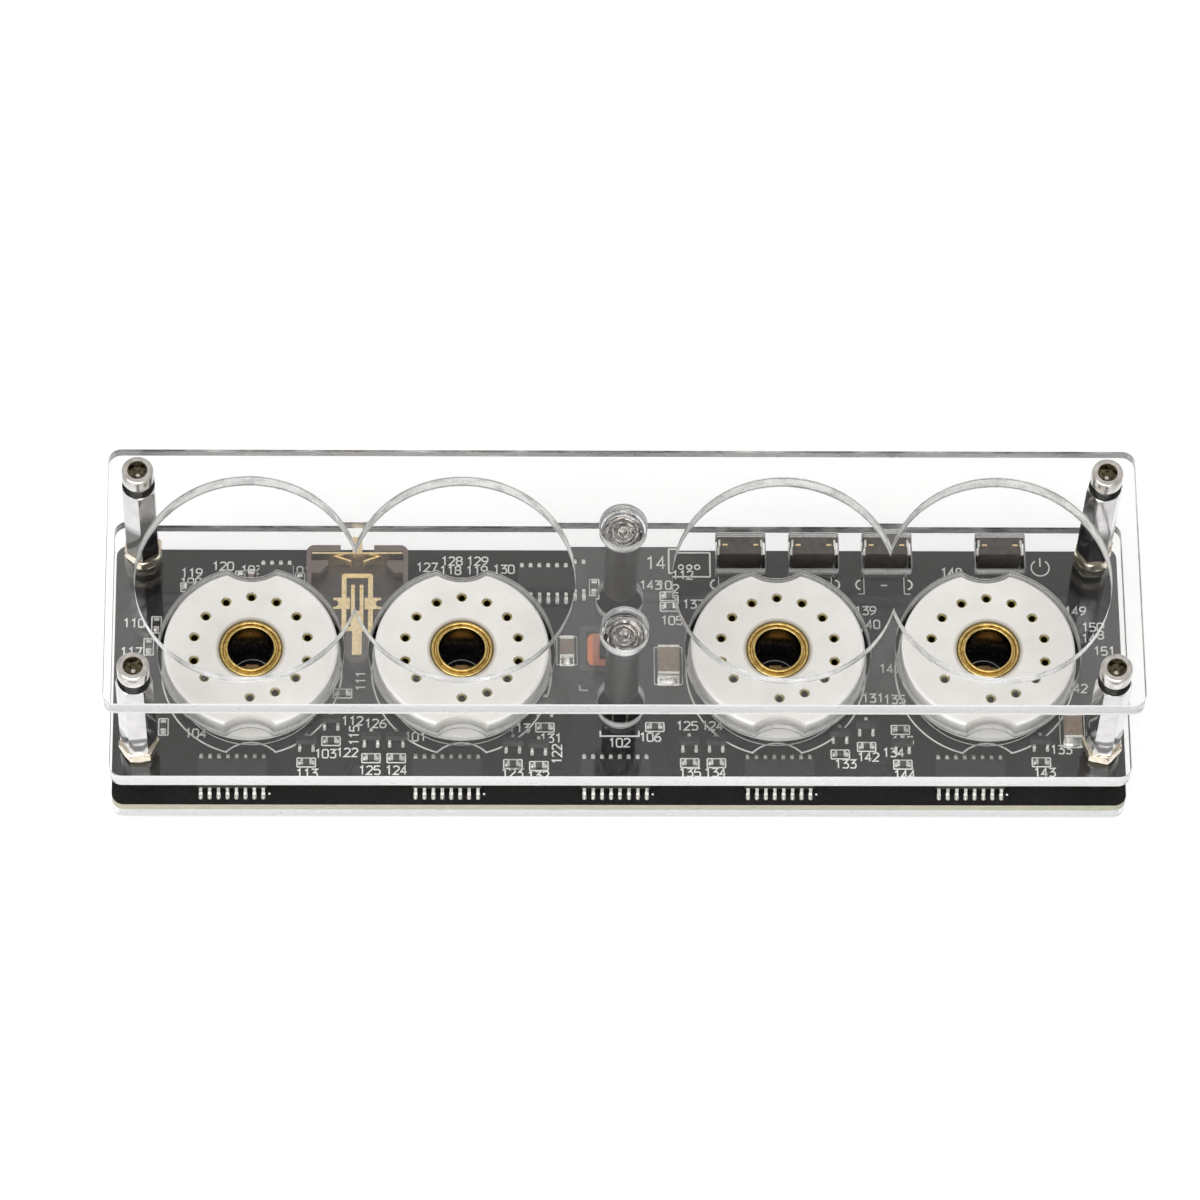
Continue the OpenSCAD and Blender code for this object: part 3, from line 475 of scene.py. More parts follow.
def metal(name, dark, light, low, high, grain=0.4, depth=0.004):
    """A bare metal whose tint and polish wander between two values."""
    s = Surface(name, light, (low + high) / 2, metallic=1.0)
    wander = s.noise(grain, detail=4)
    s.set("Base Color", s.ramp(wander, (0.3, dark), (0.7, light)))
    s.set("Roughness", s.remap(wander, 0.3, 0.7, high, low))
    s.bump(s.noise(grain * 0.4, detail=3), depth)
    return s.material


def brass():
    """Riveted brass: bright rings, and a bore painted dark as shade, with a painted reflection glowing
    only at its front and rear.
    """
    bore_r, bore_depth = 3.3, 10
    # Painted shade: the near-black of the bore
    shadow = (0.02, 0.012, 0.005)
    s = Surface("brass", (0.78, 0.56, 0.18), 0.2, metallic=1.0)
    wander = s.noise(0.7, detail=3)
    bright = s.ramp(wander, (0.3, (0.46, 0.32, 0.10)), (0.7, (0.74, 0.57, 0.24)))
    across, radius = tube_offsets(s)
    height = s.remap(s.axis("Z"), (Z_SOCKET - bore_depth) * MM, Z_SOCKET * MM, 0, 1)
    # Painted reflection up the bore wall, fading into painted shade at its foot
    glow = s.ramp(height, (0.0, (0.008, 0.006, 0.003)), (0.42, shadow), (0.56, (0.22, 0.13, 0.03)),
                  (0.8, (0.66, 0.45, 0.12)), (1.0, (0.70, 0.50, 0.16)))
    # Painted shade at the bore's sides, leaving the painted reflection at its front and rear
    wall = s.mix(s.remap(across, 0.9, 2.5, 0, 0.92), glow, shadow)
    s.set("Base Color", s.mix(s.math("LESS_THAN", radius, bore_r), bright, wall))
    s.set("Roughness", s.remap(wander, 0.3, 0.7, 0.3, 0.16))
    s.bump(s.noise(0.35, detail=2), 0.0025)
    return s.material


def nickel():
    """Plated standoff bars: bright, with dark patches low down painted as reflections of the black
    parts, and painted shade on the facets turned right on the left side.
    """
    patch_low, patch_high = 8.5, 11.0
    band_at, band_inner, band_outer = 6.0, 0.4, 1.0
    s = Surface("nickel", (0.72, 0.71, 0.7), 0.1, metallic=1.0)
    wander = s.noise(2.5, detail=3)
    plated = s.ramp(wander, (0.3, (0.60, 0.585, 0.595)), (0.7, (0.71, 0.695, 0.70)))
    up = s.math("SUBTRACT", s.math("DIVIDE", s.axis("Z"), MM), Z_MID_TOP)
    ragged = s.math("ADD", up, s.remap(s.noise(3.0, detail=1), 0.3, 0.7, -0.4, 0.4))
    rear = s.math("GREATER_THAN", s.axis("Y"), 0.0)
    # Painted reflection: a dark patch low on the rear bars
    painted_reflection = s.math("MULTIPLY", rear, s.remap(ragged, patch_low, patch_high, 0.93, 0.0))
    from_band = s.math("ABSOLUTE", s.math("SUBTRACT", ragged, band_at))
    # Painted reflection: a dark band round the front bars
    band = s.math("MULTIPLY", s.remap(from_band, band_inner, band_outer, 0.75, 0.0),
                  s.math("SUBTRACT", 1.0, rear))
    turned_right = s.math("GREATER_THAN", s.normal("X"), 0.25)
    on_left = s.math("LESS_THAN", s.axis("X"), 0.0)
    # Painted shade on the left bars' facets that face right
    painted_shade = s.math("MULTIPLY", s.math("MULTIPLY", turned_right, on_left), 0.55)
    dark = s.math("MAXIMUM", s.math("MAXIMUM", painted_reflection, band), painted_shade)
    s.set("Base Color", s.mix(dark, plated, (0.03, 0.027, 0.024)))
    s.set("Roughness", s.remap(wander, 0.3, 0.7, 0.13, 0.06))
    s.bump(s.noise(1.0, detail=2), 0.0006)
    return s.material


def screw_steel():
    """Plated steel of the screws, with the key socket's recess painted dark as shade."""
    shade_above_plate = 0.8
    s = Surface("screw_steel", (0.62, 0.6, 0.58), 0.14, metallic=1.0)
    wander = s.noise(1.4, detail=3)
    plated = s.ramp(wander, (0.3, (0.50, 0.485, 0.465)), (0.7, (0.74, 0.72, 0.695)))
    from_axis = [s.math("SUBTRACT", s.math("ABSOLUTE", s.axis(letter)), place * MM)
                 for letter, place in (("X", STACK_X), ("Y", STACK_Y))]
    near = s.math("LESS_THAN", s.length(*from_axis), KEY_REACH * MM)
    high = s.math("GREATER_THAN", s.axis("Z"), (Z_TOP + shade_above_plate) * MM)
    # Painted shade, mottled, in the key socket's recess
    painted_recess_shade = s.ramp(s.noise(0.5, detail=2), (0.35, (0.035, 0.028, 0.018)), (0.65, (0.16, 0.14, 0.09)))
    s.set("Base Color", s.mix(s.math("MULTIPLY", near, high), plated, painted_recess_shade))
    s.set("Roughness", s.remap(wander, 0.3, 0.7, 0.2, 0.1))
    s.bump(s.noise(1.0, detail=2), 0.001)
    return s.material


def moulding(name, dark, light, roughness, grain=0.15, depth=0.008):
    """A moulded plastic, epoxy or paint with a fine grain."""
    s = Surface(name, light, roughness)
    s.set("Base Color", s.ramp(s.noise(grain * 6, detail=4), (0.3, dark), (0.7, light)))
    rougher = min(1, roughness * 1.15)
    s.set("Roughness", s.remap(s.noise(grain * 3), 0.3, 0.7, roughness * 0.85, rougher))
    s.bump(s.noise(grain, detail=3), depth)
    return s.material


def smoked_plastic():
    """The coin cell holder's smoky brown nylon, a little see-through, paler with height as painted
    light, its inside floor left darker as painted shade.
    """
    s = Surface("smoked_plastic", (0.07, 0.05, 0.04), 0.25, Transmission_Weight=0.05, IOR=1.5)
    smoke = s.ramp(s.noise(2.5, detail=4), (0.3, (0.050, 0.034, 0.026)), (0.7, (0.085, 0.062, 0.049)))
    low, high = corners("battery_holder")
    wall_foot = 2
    # Painted light and shade: paler up the walls, darker low down
    wall = s.remap(s.axis("Z"), (low.z + wall_foot) * MM, high.z * MM, 0, 1)
    s.set("Base Color", s.mix(wall, smoke, (0.20, 0.15, 0.125)))
    s.bump(s.noise(0.25, detail=3), 0.01)
    return s.material


def glass():
    """Lamp glass, hand-drawn and uneven: its thick head bends what lies below into swirls."""
    s = Surface("lamp_glass", (1.0, 1.0, 1.0), 0.0, Transmission_Weight=1.0, IOR=1.5)
    s.bump(s.noise(1.1, detail=2), 0.05)
    return s.material


def winding():
    """Flat enamelled copper seen edge on, and its turns in brown stripes beside it."""
    wave_scale = 480.0
    s = Surface("winding", (0.75, 0.25, 0.12), 0.4, metallic=0.2)
    low, high = corners("inductor_coil")
    across = s.remap(s.axis("X"), low.x * MM, high.x * MM, 0, 1)
    stripes = s.add("TexWave", {"Vector": s.place, "Scale": wave_scale, "Distortion": 1.2},
                    bands_direction="DIAGONAL")
    brown = s.ramp(stripes.outputs["Fac"], (0.2, (0.06, 0.035, 0.015)), (0.8, (0.30, 0.20, 0.11)))
    flat = s.ramp(across, (0.0, (0.9, 0.26, 0.06)), (0.14, (0.85, 0.24, 0.07)),
                  (0.18, (0.52, 0.2, 0.12)))
    s.set("Base Color", s.mix(s.math("GREATER_THAN", across, 0.5), flat, brown))
    s.bump(s.noise(0.2), 0.02)
    return s.material


def floor_white():
    """Pale floor: lit like paper, and lifted to white so that only a soft shadow shows."""
    glow = 0.6
    s = Surface("floor_white", grey(0.55), 0.9, Specular_IOR_Level=0.0)
    s.set("Base Color", s.ramp(s.noise(40), (0.3, grey(0.545)), (0.7, grey(0.555))))
    s.shader.inputs["Emission Color"].default_value = (*WHITE, 1)
    ray = s.add("LightPath").outputs
    mirrored = s.math("MAXIMUM", ray["Is Glossy Ray"], ray["Is Transmission Ray"])
    seen = s.math("MAXIMUM", ray["Is Camera Ray"], mirrored)
    s.set("Emission Strength", s.math("MULTIPLY", seen, glow))
    return s.material


PLATES = {name: acrylic(name) for name in ("bottom_plate", "mid_plate", "top_plate")}
CERAMIC = ceramic()
MASK = solder_mask()
INK = ink()
BRASS = brass()
PIN_GOLD = metal("pin_gold", (0.26, 0.21, 0.07), (0.56, 0.48, 0.21), 0.2, 0.4)
CELL_GOLD = metal("cell_gold", (0.70, 0.53, 0.27), (0.92, 0.76, 0.47), 0.3, 0.45)
NICKEL = nickel()
NUT_PLATE = metal("nut_plate", (0.68, 0.60, 0.46), (0.88, 0.82, 0.70), 0.1, 0.2, grain=1.6, depth=0.001)
STEEL = screw_steel()
TIN = metal("tinned", (0.6, 0.59, 0.56), (0.95, 0.94, 0.91), 0.25, 0.5, grain=0.3, depth=0.007)
SHELL = metal("switch_steel", (0.60, 0.59, 0.57), (0.78, 0.77, 0.75), 0.25, 0.4, grain=1.6, depth=0.002)
LAMP_METAL = metal("lamp_metal", (0.07, 0.06, 0.055), (0.80, 0.75, 0.70), 0.12, 0.3,
                   grain=0.5, depth=0.003)
NYLON = moulding("black_nylon", grey(0.008), grey(0.016), 0.45)
EPOXY = moulding("chip_epoxy", grey(0.010), (0.018, 0.017, 0.016), 0.55, grain=0.08)
SLEEVING = moulding("black_sleeve", (0.014, 0.013, 0.012), (0.026, 0.024, 0.022), 0.4)
SWITCH = moulding("switch_plastic", (0.070, 0.064, 0.057), (0.105, 0.096, 0.086), 0.4)
BUTTON = moulding("button_plastic", grey(0.016), grey(0.03), 0.45)
FERRITE = moulding("ferrite", (0.024, 0.024, 0.023), (0.05, 0.049, 0.047), 0.5, grain=0.12, depth=0.02)
TAN = moulding("capacitor_tan", (0.25, 0.17, 0.11), (0.36, 0.26, 0.185), 0.4, grain=0.1)
RESIST = moulding("resistor_black", (0.014, 0.013, 0.010), (0.035, 0.032, 0.024), 0.35)
AMBER = moulding("led_amber", (0.55, 0.33, 0.13), (0.78, 0.52, 0.27), 0.3)
WINDING = winding()
SMOKED = smoked_plastic()
GLASS = glass()

NODE_FINISH = {
    **PLATES, "circuit_board": MASK,
    "bottom_screws": STEEL, "board_spacers": NYLON, "stack_nuts": NUT_PLATE, "standoffs": NICKEL,
    "top_screws": STEEL, "tube_leds": AMBER, "battery_holder": SMOKED,
    "battery_contact_upper": CELL_GOLD, "battery_contact_lower": CELL_GOLD, "driver_chips": EPOXY,
    "controller_chip": EPOXY, "clock_chip": EPOXY, "chip_leads": TIN, "inductor_core": FERRITE,
    "inductor_coil": WINDING, "capacitors": TAN, "resistors": RESIST, "component_ends": TIN,
    "transistors": EPOXY, "transistor_leads": TIN, "power_shell": STEEL, "power_tongue": NYLON,
}
for end in ("front", "rear"):
    NODE_FINISH[f"lamp_glass_{end}"] = GLASS
    NODE_FINISH[f"lamp_electrodes_{end}"] = LAMP_METAL
    NODE_FINISH[f"lamp_sleeve_{end}"] = SLEEVING
for n in range(1, 5):
    NODE_FINISH[f"socket_{n}"] = CERAMIC
    NODE_FINISH[f"socket_contacts_{n}"] = PIN_GOLD
    NODE_FINISH[f"socket_sleeve_{n}"] = BRASS
    NODE_FINISH[f"switch_body_{n}"] = SWITCH
    NODE_FINISH[f"switch_frame_{n}"] = SHELL
    NODE_FINISH[f"button_{n}"] = BUTTON
for name, node in frame["nodes"].items():
    node.data.materials.clear()
    node.data.materials.append(NODE_FINISH[name])

# ---- Silkscreen and solder pads ----

# The heights between which ink and bare pads lie, and the widths of the printed lines
INK_Z = (Z_BOARD, Z_BOARD + 0.02)
PAD_Z = (Z_BOARD, Z_BOARD + 0.03)
FINE_LINE = 0.12
MARK_LINE = 0.2
LINE = 0.25
FIGURE_LINE = 0.21
# A figure's width and the step to the next, in half heights
FIGURE_WIDTH, FIGURE_STEP = 1.25, 1.66
# Each figure in one stroke, 1 wide and 2 high
FIGURES = {
    "0": [(0.2, 0), (0, 0.3), (0, 1.7), (0.2, 2), (0.8, 2), (1, 1.7), (1, 0.3), (0.8, 0), (0.2, 0)],
    "1": [(0.2, 1.6), (0.6, 2), (0.6, 0)],
    "2": [(0, 1.7), (0.25, 2), (0.75, 2), (1, 1.7), (1, 1.3), (0, 0), (1, 0)],
    "3": [(0, 2), (1, 2), (0.4, 1.2), (0.75, 1.2), (1, 0.9), (1, 0.3), (0.75, 0), (0, 0.1)],
    "4": [(1, 0.6), (0, 0.6), (0.7, 2), (0.7, 0)],
    "5": [(1, 2), (0.1, 2), (0, 1.1), (0.7, 1.2), (1, 0.9), (1, 0.3), (0.75, 0), (0, 0.1)],
    "6": [(0.9, 2), (0.3, 1.6), (0, 0.9), (0, 0.3), (0.25, 0), (0.75, 0), (1, 0.3), (1, 0.8),
          (0.75, 1.1), (0.1, 1.0)],
    "7": [(0, 2), (1, 2), (0.35, 0)],
    "8": [(0.25, 1.05), (0, 0.8), (0, 0.3), (0.25, 0), (0.75, 0), (1, 0.3), (1, 0.8), (0.75, 1.05),
          (0.25, 1.05), (0.05, 1.35), (0.05, 1.75), (0.3, 2), (0.7, 2), (0.95, 1.75), (0.95, 1.35),
          (0.75, 1.05)],
    "9": [(0.1, 0), (0.7, 0.4), (1, 1.1), (1, 1.7), (0.75, 2), (0.25, 2), (0, 1.7), (0, 1.2),
          (0.25, 0.9), (0.9, 1.0)],
}


def number(piece, text, at, height=1.3, turn=0):
    """Plain figures in printed strokes, centred on a place."""
    unit = height / 2
    wide, step = unit * FIGURE_WIDTH, unit * FIGURE_STEP
    rotation = Matrix.Rotation(math.radians(turn), 2)
    for k, figure in enumerate(text):
        left = (k - (len(text) - 1) / 2) * step - wide / 2
        line = FIGURES[figure]
        moved = [rotation @ Vector((left + x * wide, (y - 1) * unit)) for x, y in line]
        points = [(at[0] + p.x, at[1] + p.y) for p in moved]
        closed = line[0] == line[-1]
        piece.stroke(points[:-1] if closed else points, FIGURE_LINE, *INK_Z, closed=closed)


def frame_line(piece, centre, size, radius=0.1, width=LINE):
    """A printed rectangle."""
    piece.stroke(rounded_box(*size, radius, 3, centre), width, *INK_Z, closed=True)


def level(box):
    """The middle of a solid's box, seen from above."""
    return (box[0].x + box[1].x) / 2, (box[0].y + box[1].y) / 2


def turned(box):
    """Whether a small part lies with its ends at front and rear."""
    return box[1].y - box[0].y > box[1].x - box[0].x


RESISTORS = [(*level(box), turned(box)) for box in solids("resistors")]
TRANSISTORS = [level(box) for box in solids("transistors")]
TRANSISTOR_LEADS = solids("transistor_leads")
CHIPS = [box for node in ("driver_chips", "controller_chip", "clock_chip") for box in solids(node)]
CHIP_LEADS = solids("chip_leads")
CAPACITORS = solids("capacitors")
SWITCH_FRONT = corners("switch_body_1")[0].y
SWITCH_TOP = corners("switch_body_1")[1].z
SOCKET_OUTLINE_R = 12.85
NOTCH_HALF = 3.5
DIP_R, DIP_FROM_OUTLINE = 4.9, 2.9
PIN_CIRCLE_R, BORE_CIRCLE_R = 11.2, 2.9


def socket_outline(piece, x):
    """The printed outline of a socket: a circle with a dip at front and rear."""
    side = math.degrees(math.asin(NOTCH_HALF / SOCKET_OUTLINE_R))
    dip = arc((0, SOCKET_OUTLINE_R + DIP_FROM_OUTLINE), DIP_R, 227, 313, 8)
    rear, front = [[(x + px * up, py * up) for px, py in dip] for up in (1, -1)]
    right = arc((x, 0), SOCKET_OUTLINE_R, -90 + side, 90 - side, 40)
    left = arc((x, 0), SOCKET_OUTLINE_R, 90 + side, 270 - side, 40)
    piece.stroke(right + rear[::-1] + left + front[::-1], LINE, *INK_Z, closed=True)


def switch_marks(piece, x):
    """The printed corners before a push button, and the dash in their middle."""
    outer, inner, corner_y = 3.8, 2.9, 13.1
    dash_half, dash_y = 0.45, 14.5
    for side in (-1, 1):
        corner = [(x + side * outer, corner_y), (x + side * inner, corner_y),
                  (x + side * inner, SWITCH_FRONT)]
        piece.stroke(corner, FINE_LINE, *INK_Z)
    piece.stroke([(x - dash_half, dash_y), (x + dash_half, dash_y)], MARK_LINE, *INK_Z)


def silkscreen():
    """The white printing, with a plain number for each designator."""
    dot_r, dot_right, dot_front = 0.16, 0.35, 2.45
    across, along = (2.6, 1.4), (1.35, 2.6)
    bore_line, corner_line = 0.14, 0.13
    piece = Piece()
    for x in TUBES:
        socket_outline(piece, x)
        piece.stroke(arc((x, 0), PIN_CIRCLE_R, 0, 355, 71), FINE_LINE, *INK_Z, closed=True)
        piece.stroke(arc((x, 0), BORE_CIRCLE_R, 0, 350, 35), bore_line, *INK_Z, closed=True)
    for x, y, is_turned in RESISTORS:
        frame_line(piece, (x, y), along if is_turned else across, 0.12, MARK_LINE)
    for box in CHIPS:
        dot = (box[1].x + dot_right, level(box)[1] - dot_front)
        piece.prism(arc(dot, dot_r, 0, 330, 11), *INK_Z)
    for x in SWITCHES:
        switch_marks(piece, x)
    for box in CAPACITORS:
        size = (box[1].x - box[0].x + 0.9, box[1].y - box[0].y + 2.0)
        frame_line(piece, level(box), size, width=FINE_LINE)
    corner_mark = [(-5.6, -2.2), (-5.6, -3.0), (-4.4, -3.0)]
    piece.stroke(corner_mark, corner_line, *INK_Z)
    labels = [
        ("19", (-61.4, 16.3)), ("9", (-61.5, 14.8)), ("20", (-56.9, 17.4)), ("3", (-52.8, 16.8)),
        ("1", (-45.8, 16.7)), ("10", (-69.5, 7.6)), ("17", (-69.8, 3.0)), ("4", (-60.4, -9.4)),
        ("12", (-38.1, -7.4)), ("26", (-34.8, -7.8)), ("3", (-41.9, -12.6)), ("22", (-38.8, -12.4)),
        ("25", (-35.6, -15.2)), ("24", (-31.8, -15.2)), ("13", (-44.5, -15.7)), ("1", (-29.1, -9.9)),
        ("27", (-27.5, 17.3)), ("28", (-23.9, 18.3)), ("29", (-20.2, 18.3)), ("18", (-24.1, 16.8)),
        ("19", (-20.3, 16.8)), ("30", (-16.4, 17)), ("43", (4.7, 13.9)), ("2", (7.3, 13.9)),
        ("5", (7.7, 8.2)), ("37", (10.9, 11.4)), ("2", (0, -10.8)), ("6", (4.4, -9.9)),
        ("25", (9.7, -8.1)), ("24", (13.3, -8.1)), ("35", (10, -15.5)), ("34", (13.6, -15.5)),
        ("31", (-9.8, -10.1)), ("23", (-15.3, -15.6)), ("32", (-11.6, -16)), ("13", (-14.3, -8.5)),
        ("48", (48.3, 16.6)), ("39", (35.7, 10.4)), ("40", (36.2, 8.2)), ("49", (66, 10.4)),
        ("50", (68.4, 7.8)), ("48", (68.3, 6)), ("51", (69.8, 3.4)), ("42", (65.6, -2.6)),
        ("47", (38.9, 0.5)), ("31", (36.3, -4.2)), ("35", (39.4, -4.4)), ("45", (40.5, -10.4)),
        ("34", (39.1, -12.3)), ("42", (35.5, -13)), ("33", (32.2, -14.1)), ("44", (40.6, -15.8)),
        ("33", (63.1, -11.8)), ("43", (60.6, -15.4)), ("12", (9.4, 16.1)),
    ]
    for text, at in labels:
        number(piece, "1" + text.zfill(2), at)
    for text, at in (("11", (-36.9, -1.6)), ("15", (-37.8, -9.7)), ("22", (-8.9, -12.6))):
        number(piece, "1" + text, at, turn=90)
    return piece


def power_mark(piece):
    """The common power sign by the separate button: a broken ring and a bar through its gap."""
    x, y, radius = 61.2, 17.4, 1.3
    bar_low, bar_high = y + 0.2, y + radius + 0.3
    piece.stroke(arc((x, y), radius, 125, 415, 24), MARK_LINE, *INK_Z)
    piece.stroke([(x, bar_low), (x, bar_high)], MARK_LINE, *INK_Z)


printed = silkscreen()
power_mark(printed)
HEADER_OUTLINE = ((10.4, 17.8), (6, 3.9))
LAMP_BRACKET = [(-2.7, -8.9), (-2.7, -9.75), (2.8, -9.75), (2.8, -8.9)]
frame_line(printed, *HEADER_OUTLINE)
number(printed, "14", (5.5, 17.5), height=1.9)
printed.stroke(LAMP_BRACKET, LINE, *INK_Z)
printed.finish("silkscreen", INK, "solder_mask")


def outer_end(box, bodies):
    """Where a lead ends away from its body, and whether that is to the rear (1) or the front (-1)."""
    x, y = level(box)
    body = min(bodies, key=lambda other: math.dist(other, (x, y)))
    out = 1 if y > body[1] else -1
    return x, box[1].y if out > 0 else box[0].y, out


def joint(piece, pad_at, pad, corner, drop_at, drop, steps=3):
    """A bare pad and the drop of solder on it."""
    piece.prism(rounded_box(*pad, corner, steps, pad_at), *PAD_Z)
    piece.dome((*drop_at, PAD_Z[1]), drop)


def solder():
    """The solder at each lead and chip end, the ring pads of the header and of the buttons' legs."""
    chip_middles = [level(box) for box in CHIPS]
    resistor_half, resistor_lap = 0.82, 0.12
    header_y, header_pad_r = 17.4, 0.36
    leg_x, leg_y, leg_r, leg_line, leg_sweep = 3.3, 14.6, 0.75, 0.24, 80
    piece = Piece()
    for box in CHIP_LEADS:
        x, end, out = outer_end(box, chip_middles)
        joint(piece, (x, end - out * 0.28), (0.55, 1.25), 0.25,
              (x, end - out * 0.05), (0.5, 0.75, 0.3), steps=4)
    for x, y, is_turned in RESISTORS:
        size = (0.78, 0.62) if is_turned else (0.62, 0.78)
        drop = (size[0] * 0.8, size[1] * 0.8, 0.22)
        for side in (-1, 1):
            out = (0, side) if is_turned else (side, 0)
            at = (x + out[0] * resistor_half, y + out[1] * resistor_half)
            drop_at = (at[0] + out[0] * resistor_lap, at[1] + out[1] * resistor_lap)
            joint(piece, at, size, 0.12, drop_at, drop)
    for box in TRANSISTOR_LEADS:
        x, end, out = outer_end(box, TRANSISTORS)
        joint(piece, (x, end), (0.5, 0.7), 0.2, (x, end + out * 0.05), (0.42, 0.5, 0.22))
    for box in CAPACITORS:
        x, y = level(box)
        width = box[1].x - box[0].x
        for side in (-1, 1):
            end = y + side * ((box[1].y - box[0].y) / 2 + 0.35)
            joint(piece, (x, end + side * 0.3), (width, 1.1), 0.1,
                  (x, end + side * 0.25), (width * 0.95, 0.9, 0.35))
    for x in (9.2, 10.4, 11.55):
        piece.stroke(arc((x, header_y), header_pad_r, 0, 340, 17), MARK_LINE, *PAD_Z, closed=True)
    for x in SWITCHES:
        for side in (-1, 1):
            outward = 90 - side * 90
            pad = arc((x + side * leg_x, leg_y), leg_r, outward - leg_sweep, outward + leg_sweep, 16)
            piece.stroke(pad, leg_line, *PAD_Z)
    return piece


solder().finish("solder_pads", TIN, "tinned")

# ---- Turned and hexagonal hardware ----

STEPS = 48


def section(at, z, radius, sides=0, turn=0, limit=1e9):
    """A level ring of points: a circle, or a polygon by its inner radius, cut off at a limit."""
    out = []
    for k in range(STEPS):
        a = 2 * math.pi * k / STEPS
        r = radius
        if sides:
            half = math.pi / sides
            r = min(limit, radius / math.cos((a % (2 * half)) - half))
        b = a + math.radians(turn)
        out.append(Vector((at[0] + r * math.cos(b), at[1] + r * math.sin(b), z)))
    return out


def loft(piece, rings):
    """Skins closed rings of equal count one after another and closes both ends."""
    made = [[piece.bm.verts.new(p) for p in ring] for ring in rings]
    for low, high in zip(made, made[1:]):
        for k in range(len(low)):
            j = (k + 1) % len(low)
            piece.bm.faces.new([low[k], low[j], high[j], high[k]])
    piece.bm.faces.new(made[0][::-1])
    piece.bm.faces.new(made[-1])


# Each corner's parts were tightened by hand, so they stop at their own angles
TURNS = {"screw": (10, 38, 22, 5), "standoff": (2, 30, 55, 7), "nut": (5, 25, 48, 12)}


def cap_screws():
    """Socket head cap screws: a rounded rim, a countersunk mouth and a hexagonal key socket."""
    head_r, head_h, rim_round, foot = CAP_HEAD_D / 2, 2.5, 0.4, 0.12
    thread_r, shank, chamfer = 1.25, 7.5, 0.15
    mouth, key_depth, key_tip = 0.06, 1.4, 0.3
    top, tip = Z_TOP + head_h, Z_TOP - shank
    piece = Piece()
    for turn, at in zip(TURNS["screw"], STACKS):
        rings = [section(at, tip, thread_r - chamfer), section(at, tip + chamfer, thread_r),
                 section(at, Z_TOP, thread_r), section(at, Z_TOP, head_r - foot),
                 section(at, Z_TOP + foot, head_r)]
        rings += [section(at, z, r)
                  for r, z in arc((head_r - rim_round, top - rim_round), rim_round, 0, 90, 4)]
        rings += [section(at, top, KEY_REACH + KEY_MARGIN), section(at, top - mouth, KEY_R, 6, turn),
                  section(at, top - key_depth, KEY_R, 6, turn),
                  section(at, top - key_depth - key_tip, key_tip)]
        loft(piece, rings)
    return piece


cap_screws().finish("cap_screws", STEEL, "screw_steel", replaces=["top_screws"], angle=40)


def hexagonal(node, flats, turns, bore):
    """Hexagonal bars on the corner stacks, turned down at both ends, each at its own angle."""
    low, high = corners(node)
    inner = flats / 2
    corner = inner / math.cos(math.pi / 6)
    rounding, rim_h, turned_h = 0.05, 0.14, 0.3
    piece = Piece()
    for turn, at in zip(turns, STACKS):
        rings = [section(at, low.z, bore), section(at, low.z, inner + rounding),
                 section(at, low.z + rim_h, inner, 6, turn, corner - rounding),
                 section(at, low.z + turned_h, inner, 6, turn),
                 section(at, high.z - turned_h, inner, 6, turn),
                 section(at, high.z - rim_h, inner, 6, turn, corner - rounding),
                 section(at, high.z, inner + rounding), section(at, high.z, bore)]
        loft(piece, rings + [rings[0]])
    return piece


STANDOFF_FLATS, NUT_FLATS, STACK_BORE = 4.5, 5.0, 1.35
hexagonal("standoffs", STANDOFF_FLATS, TURNS["standoff"], STACK_BORE).finish(
    "standoff_bars", NICKEL, "nickel", replaces=["standoffs"], angle=25)
hexagonal("stack_nuts", NUT_FLATS, TURNS["nut"], STACK_BORE).finish(
    "hex_nuts", NUT_PLATE, "nickel", replaces=["stack_nuts"], angle=25)


def rivet_sleeves(n):
    """A socket's brass sleeve: a rolled outer ring, a groove, a raised inner ring, a lip below."""
    low, high = corners(f"socket_sleeve_{n}")
    bore, wall, flange = 3.25, 3.65, (high.x - low.x) / 2
    outer_r, inner_r = 0.27, 0.2
    lip_r, lip_h, chamfer = 4.2, 0.34, 0.1
    face = Z_SOCKET - 0.02
    groove, ring_foot = face - 0.34, face - 0.43
    profile = [(bore, low.z + chamfer), (bore + chamfer, low.z), (lip_r - chamfer, low.z),
               (lip_r, low.z + 0.15), (lip_r - chamfer, low.z + lip_h), (wall, low.z + lip_h),
               (wall, ring_foot), (flange - 0.02, ring_foot)]
    profile += arc((flange - outer_r, face - outer_r), outer_r, 0, 170, 8)
    profile += [(wall + 0.2, groove), (wall + 0.06, groove)]
    profile += arc((bore + inner_r, high.z - inner_r), inner_r, 0, 180, 8)
    return Piece().lathe(profile, (TUBES[n - 1], 0), 64)


for n in range(1, 5):
    rivet_sleeves(n).finish(f"rivet_sleeve_{n}", BRASS, "brass",
                            replaces=[f"socket_sleeve_{n}"], angle=50)

# ---- Colon lamps ----


def broken_ring(piece, centre, radius, thickness, tilt, start, sweep):
    """A round bar bent to part of a ring, tilted in degrees about X and Y."""
    sides, degrees_per_step = 8, 9
    place = (Matrix.Translation(centre) @ Matrix.Rotation(math.radians(tilt[0]), 4, "X")
             @ Matrix.Rotation(math.radians(tilt[1]), 4, "Y"))
    steps = int(sweep / degrees_per_step)
    loops = []
    for k in range(steps + 1):
        a = math.radians(start + sweep * k / steps)
        loop = []
        for j in range(sides):
            b = math.radians(360 / sides * j)
            r = radius + thickness / 2 * math.cos(b)
            point = place @ Vector((r * math.cos(a), r * math.sin(a), thickness / 2 * math.sin(b)))
            loop.append(piece.bm.verts.new(point))
        loops.append(loop)
    for first, second in zip(loops, loops[1:]):
        for j in range(sides):
            i = (j + 1) % sides
            piece.bm.faces.new([first[j], first[i], second[i], second[j]])
    piece.bm.faces.new(loops[0][::-1])
    piece.bm.faces.new(loops[-1])


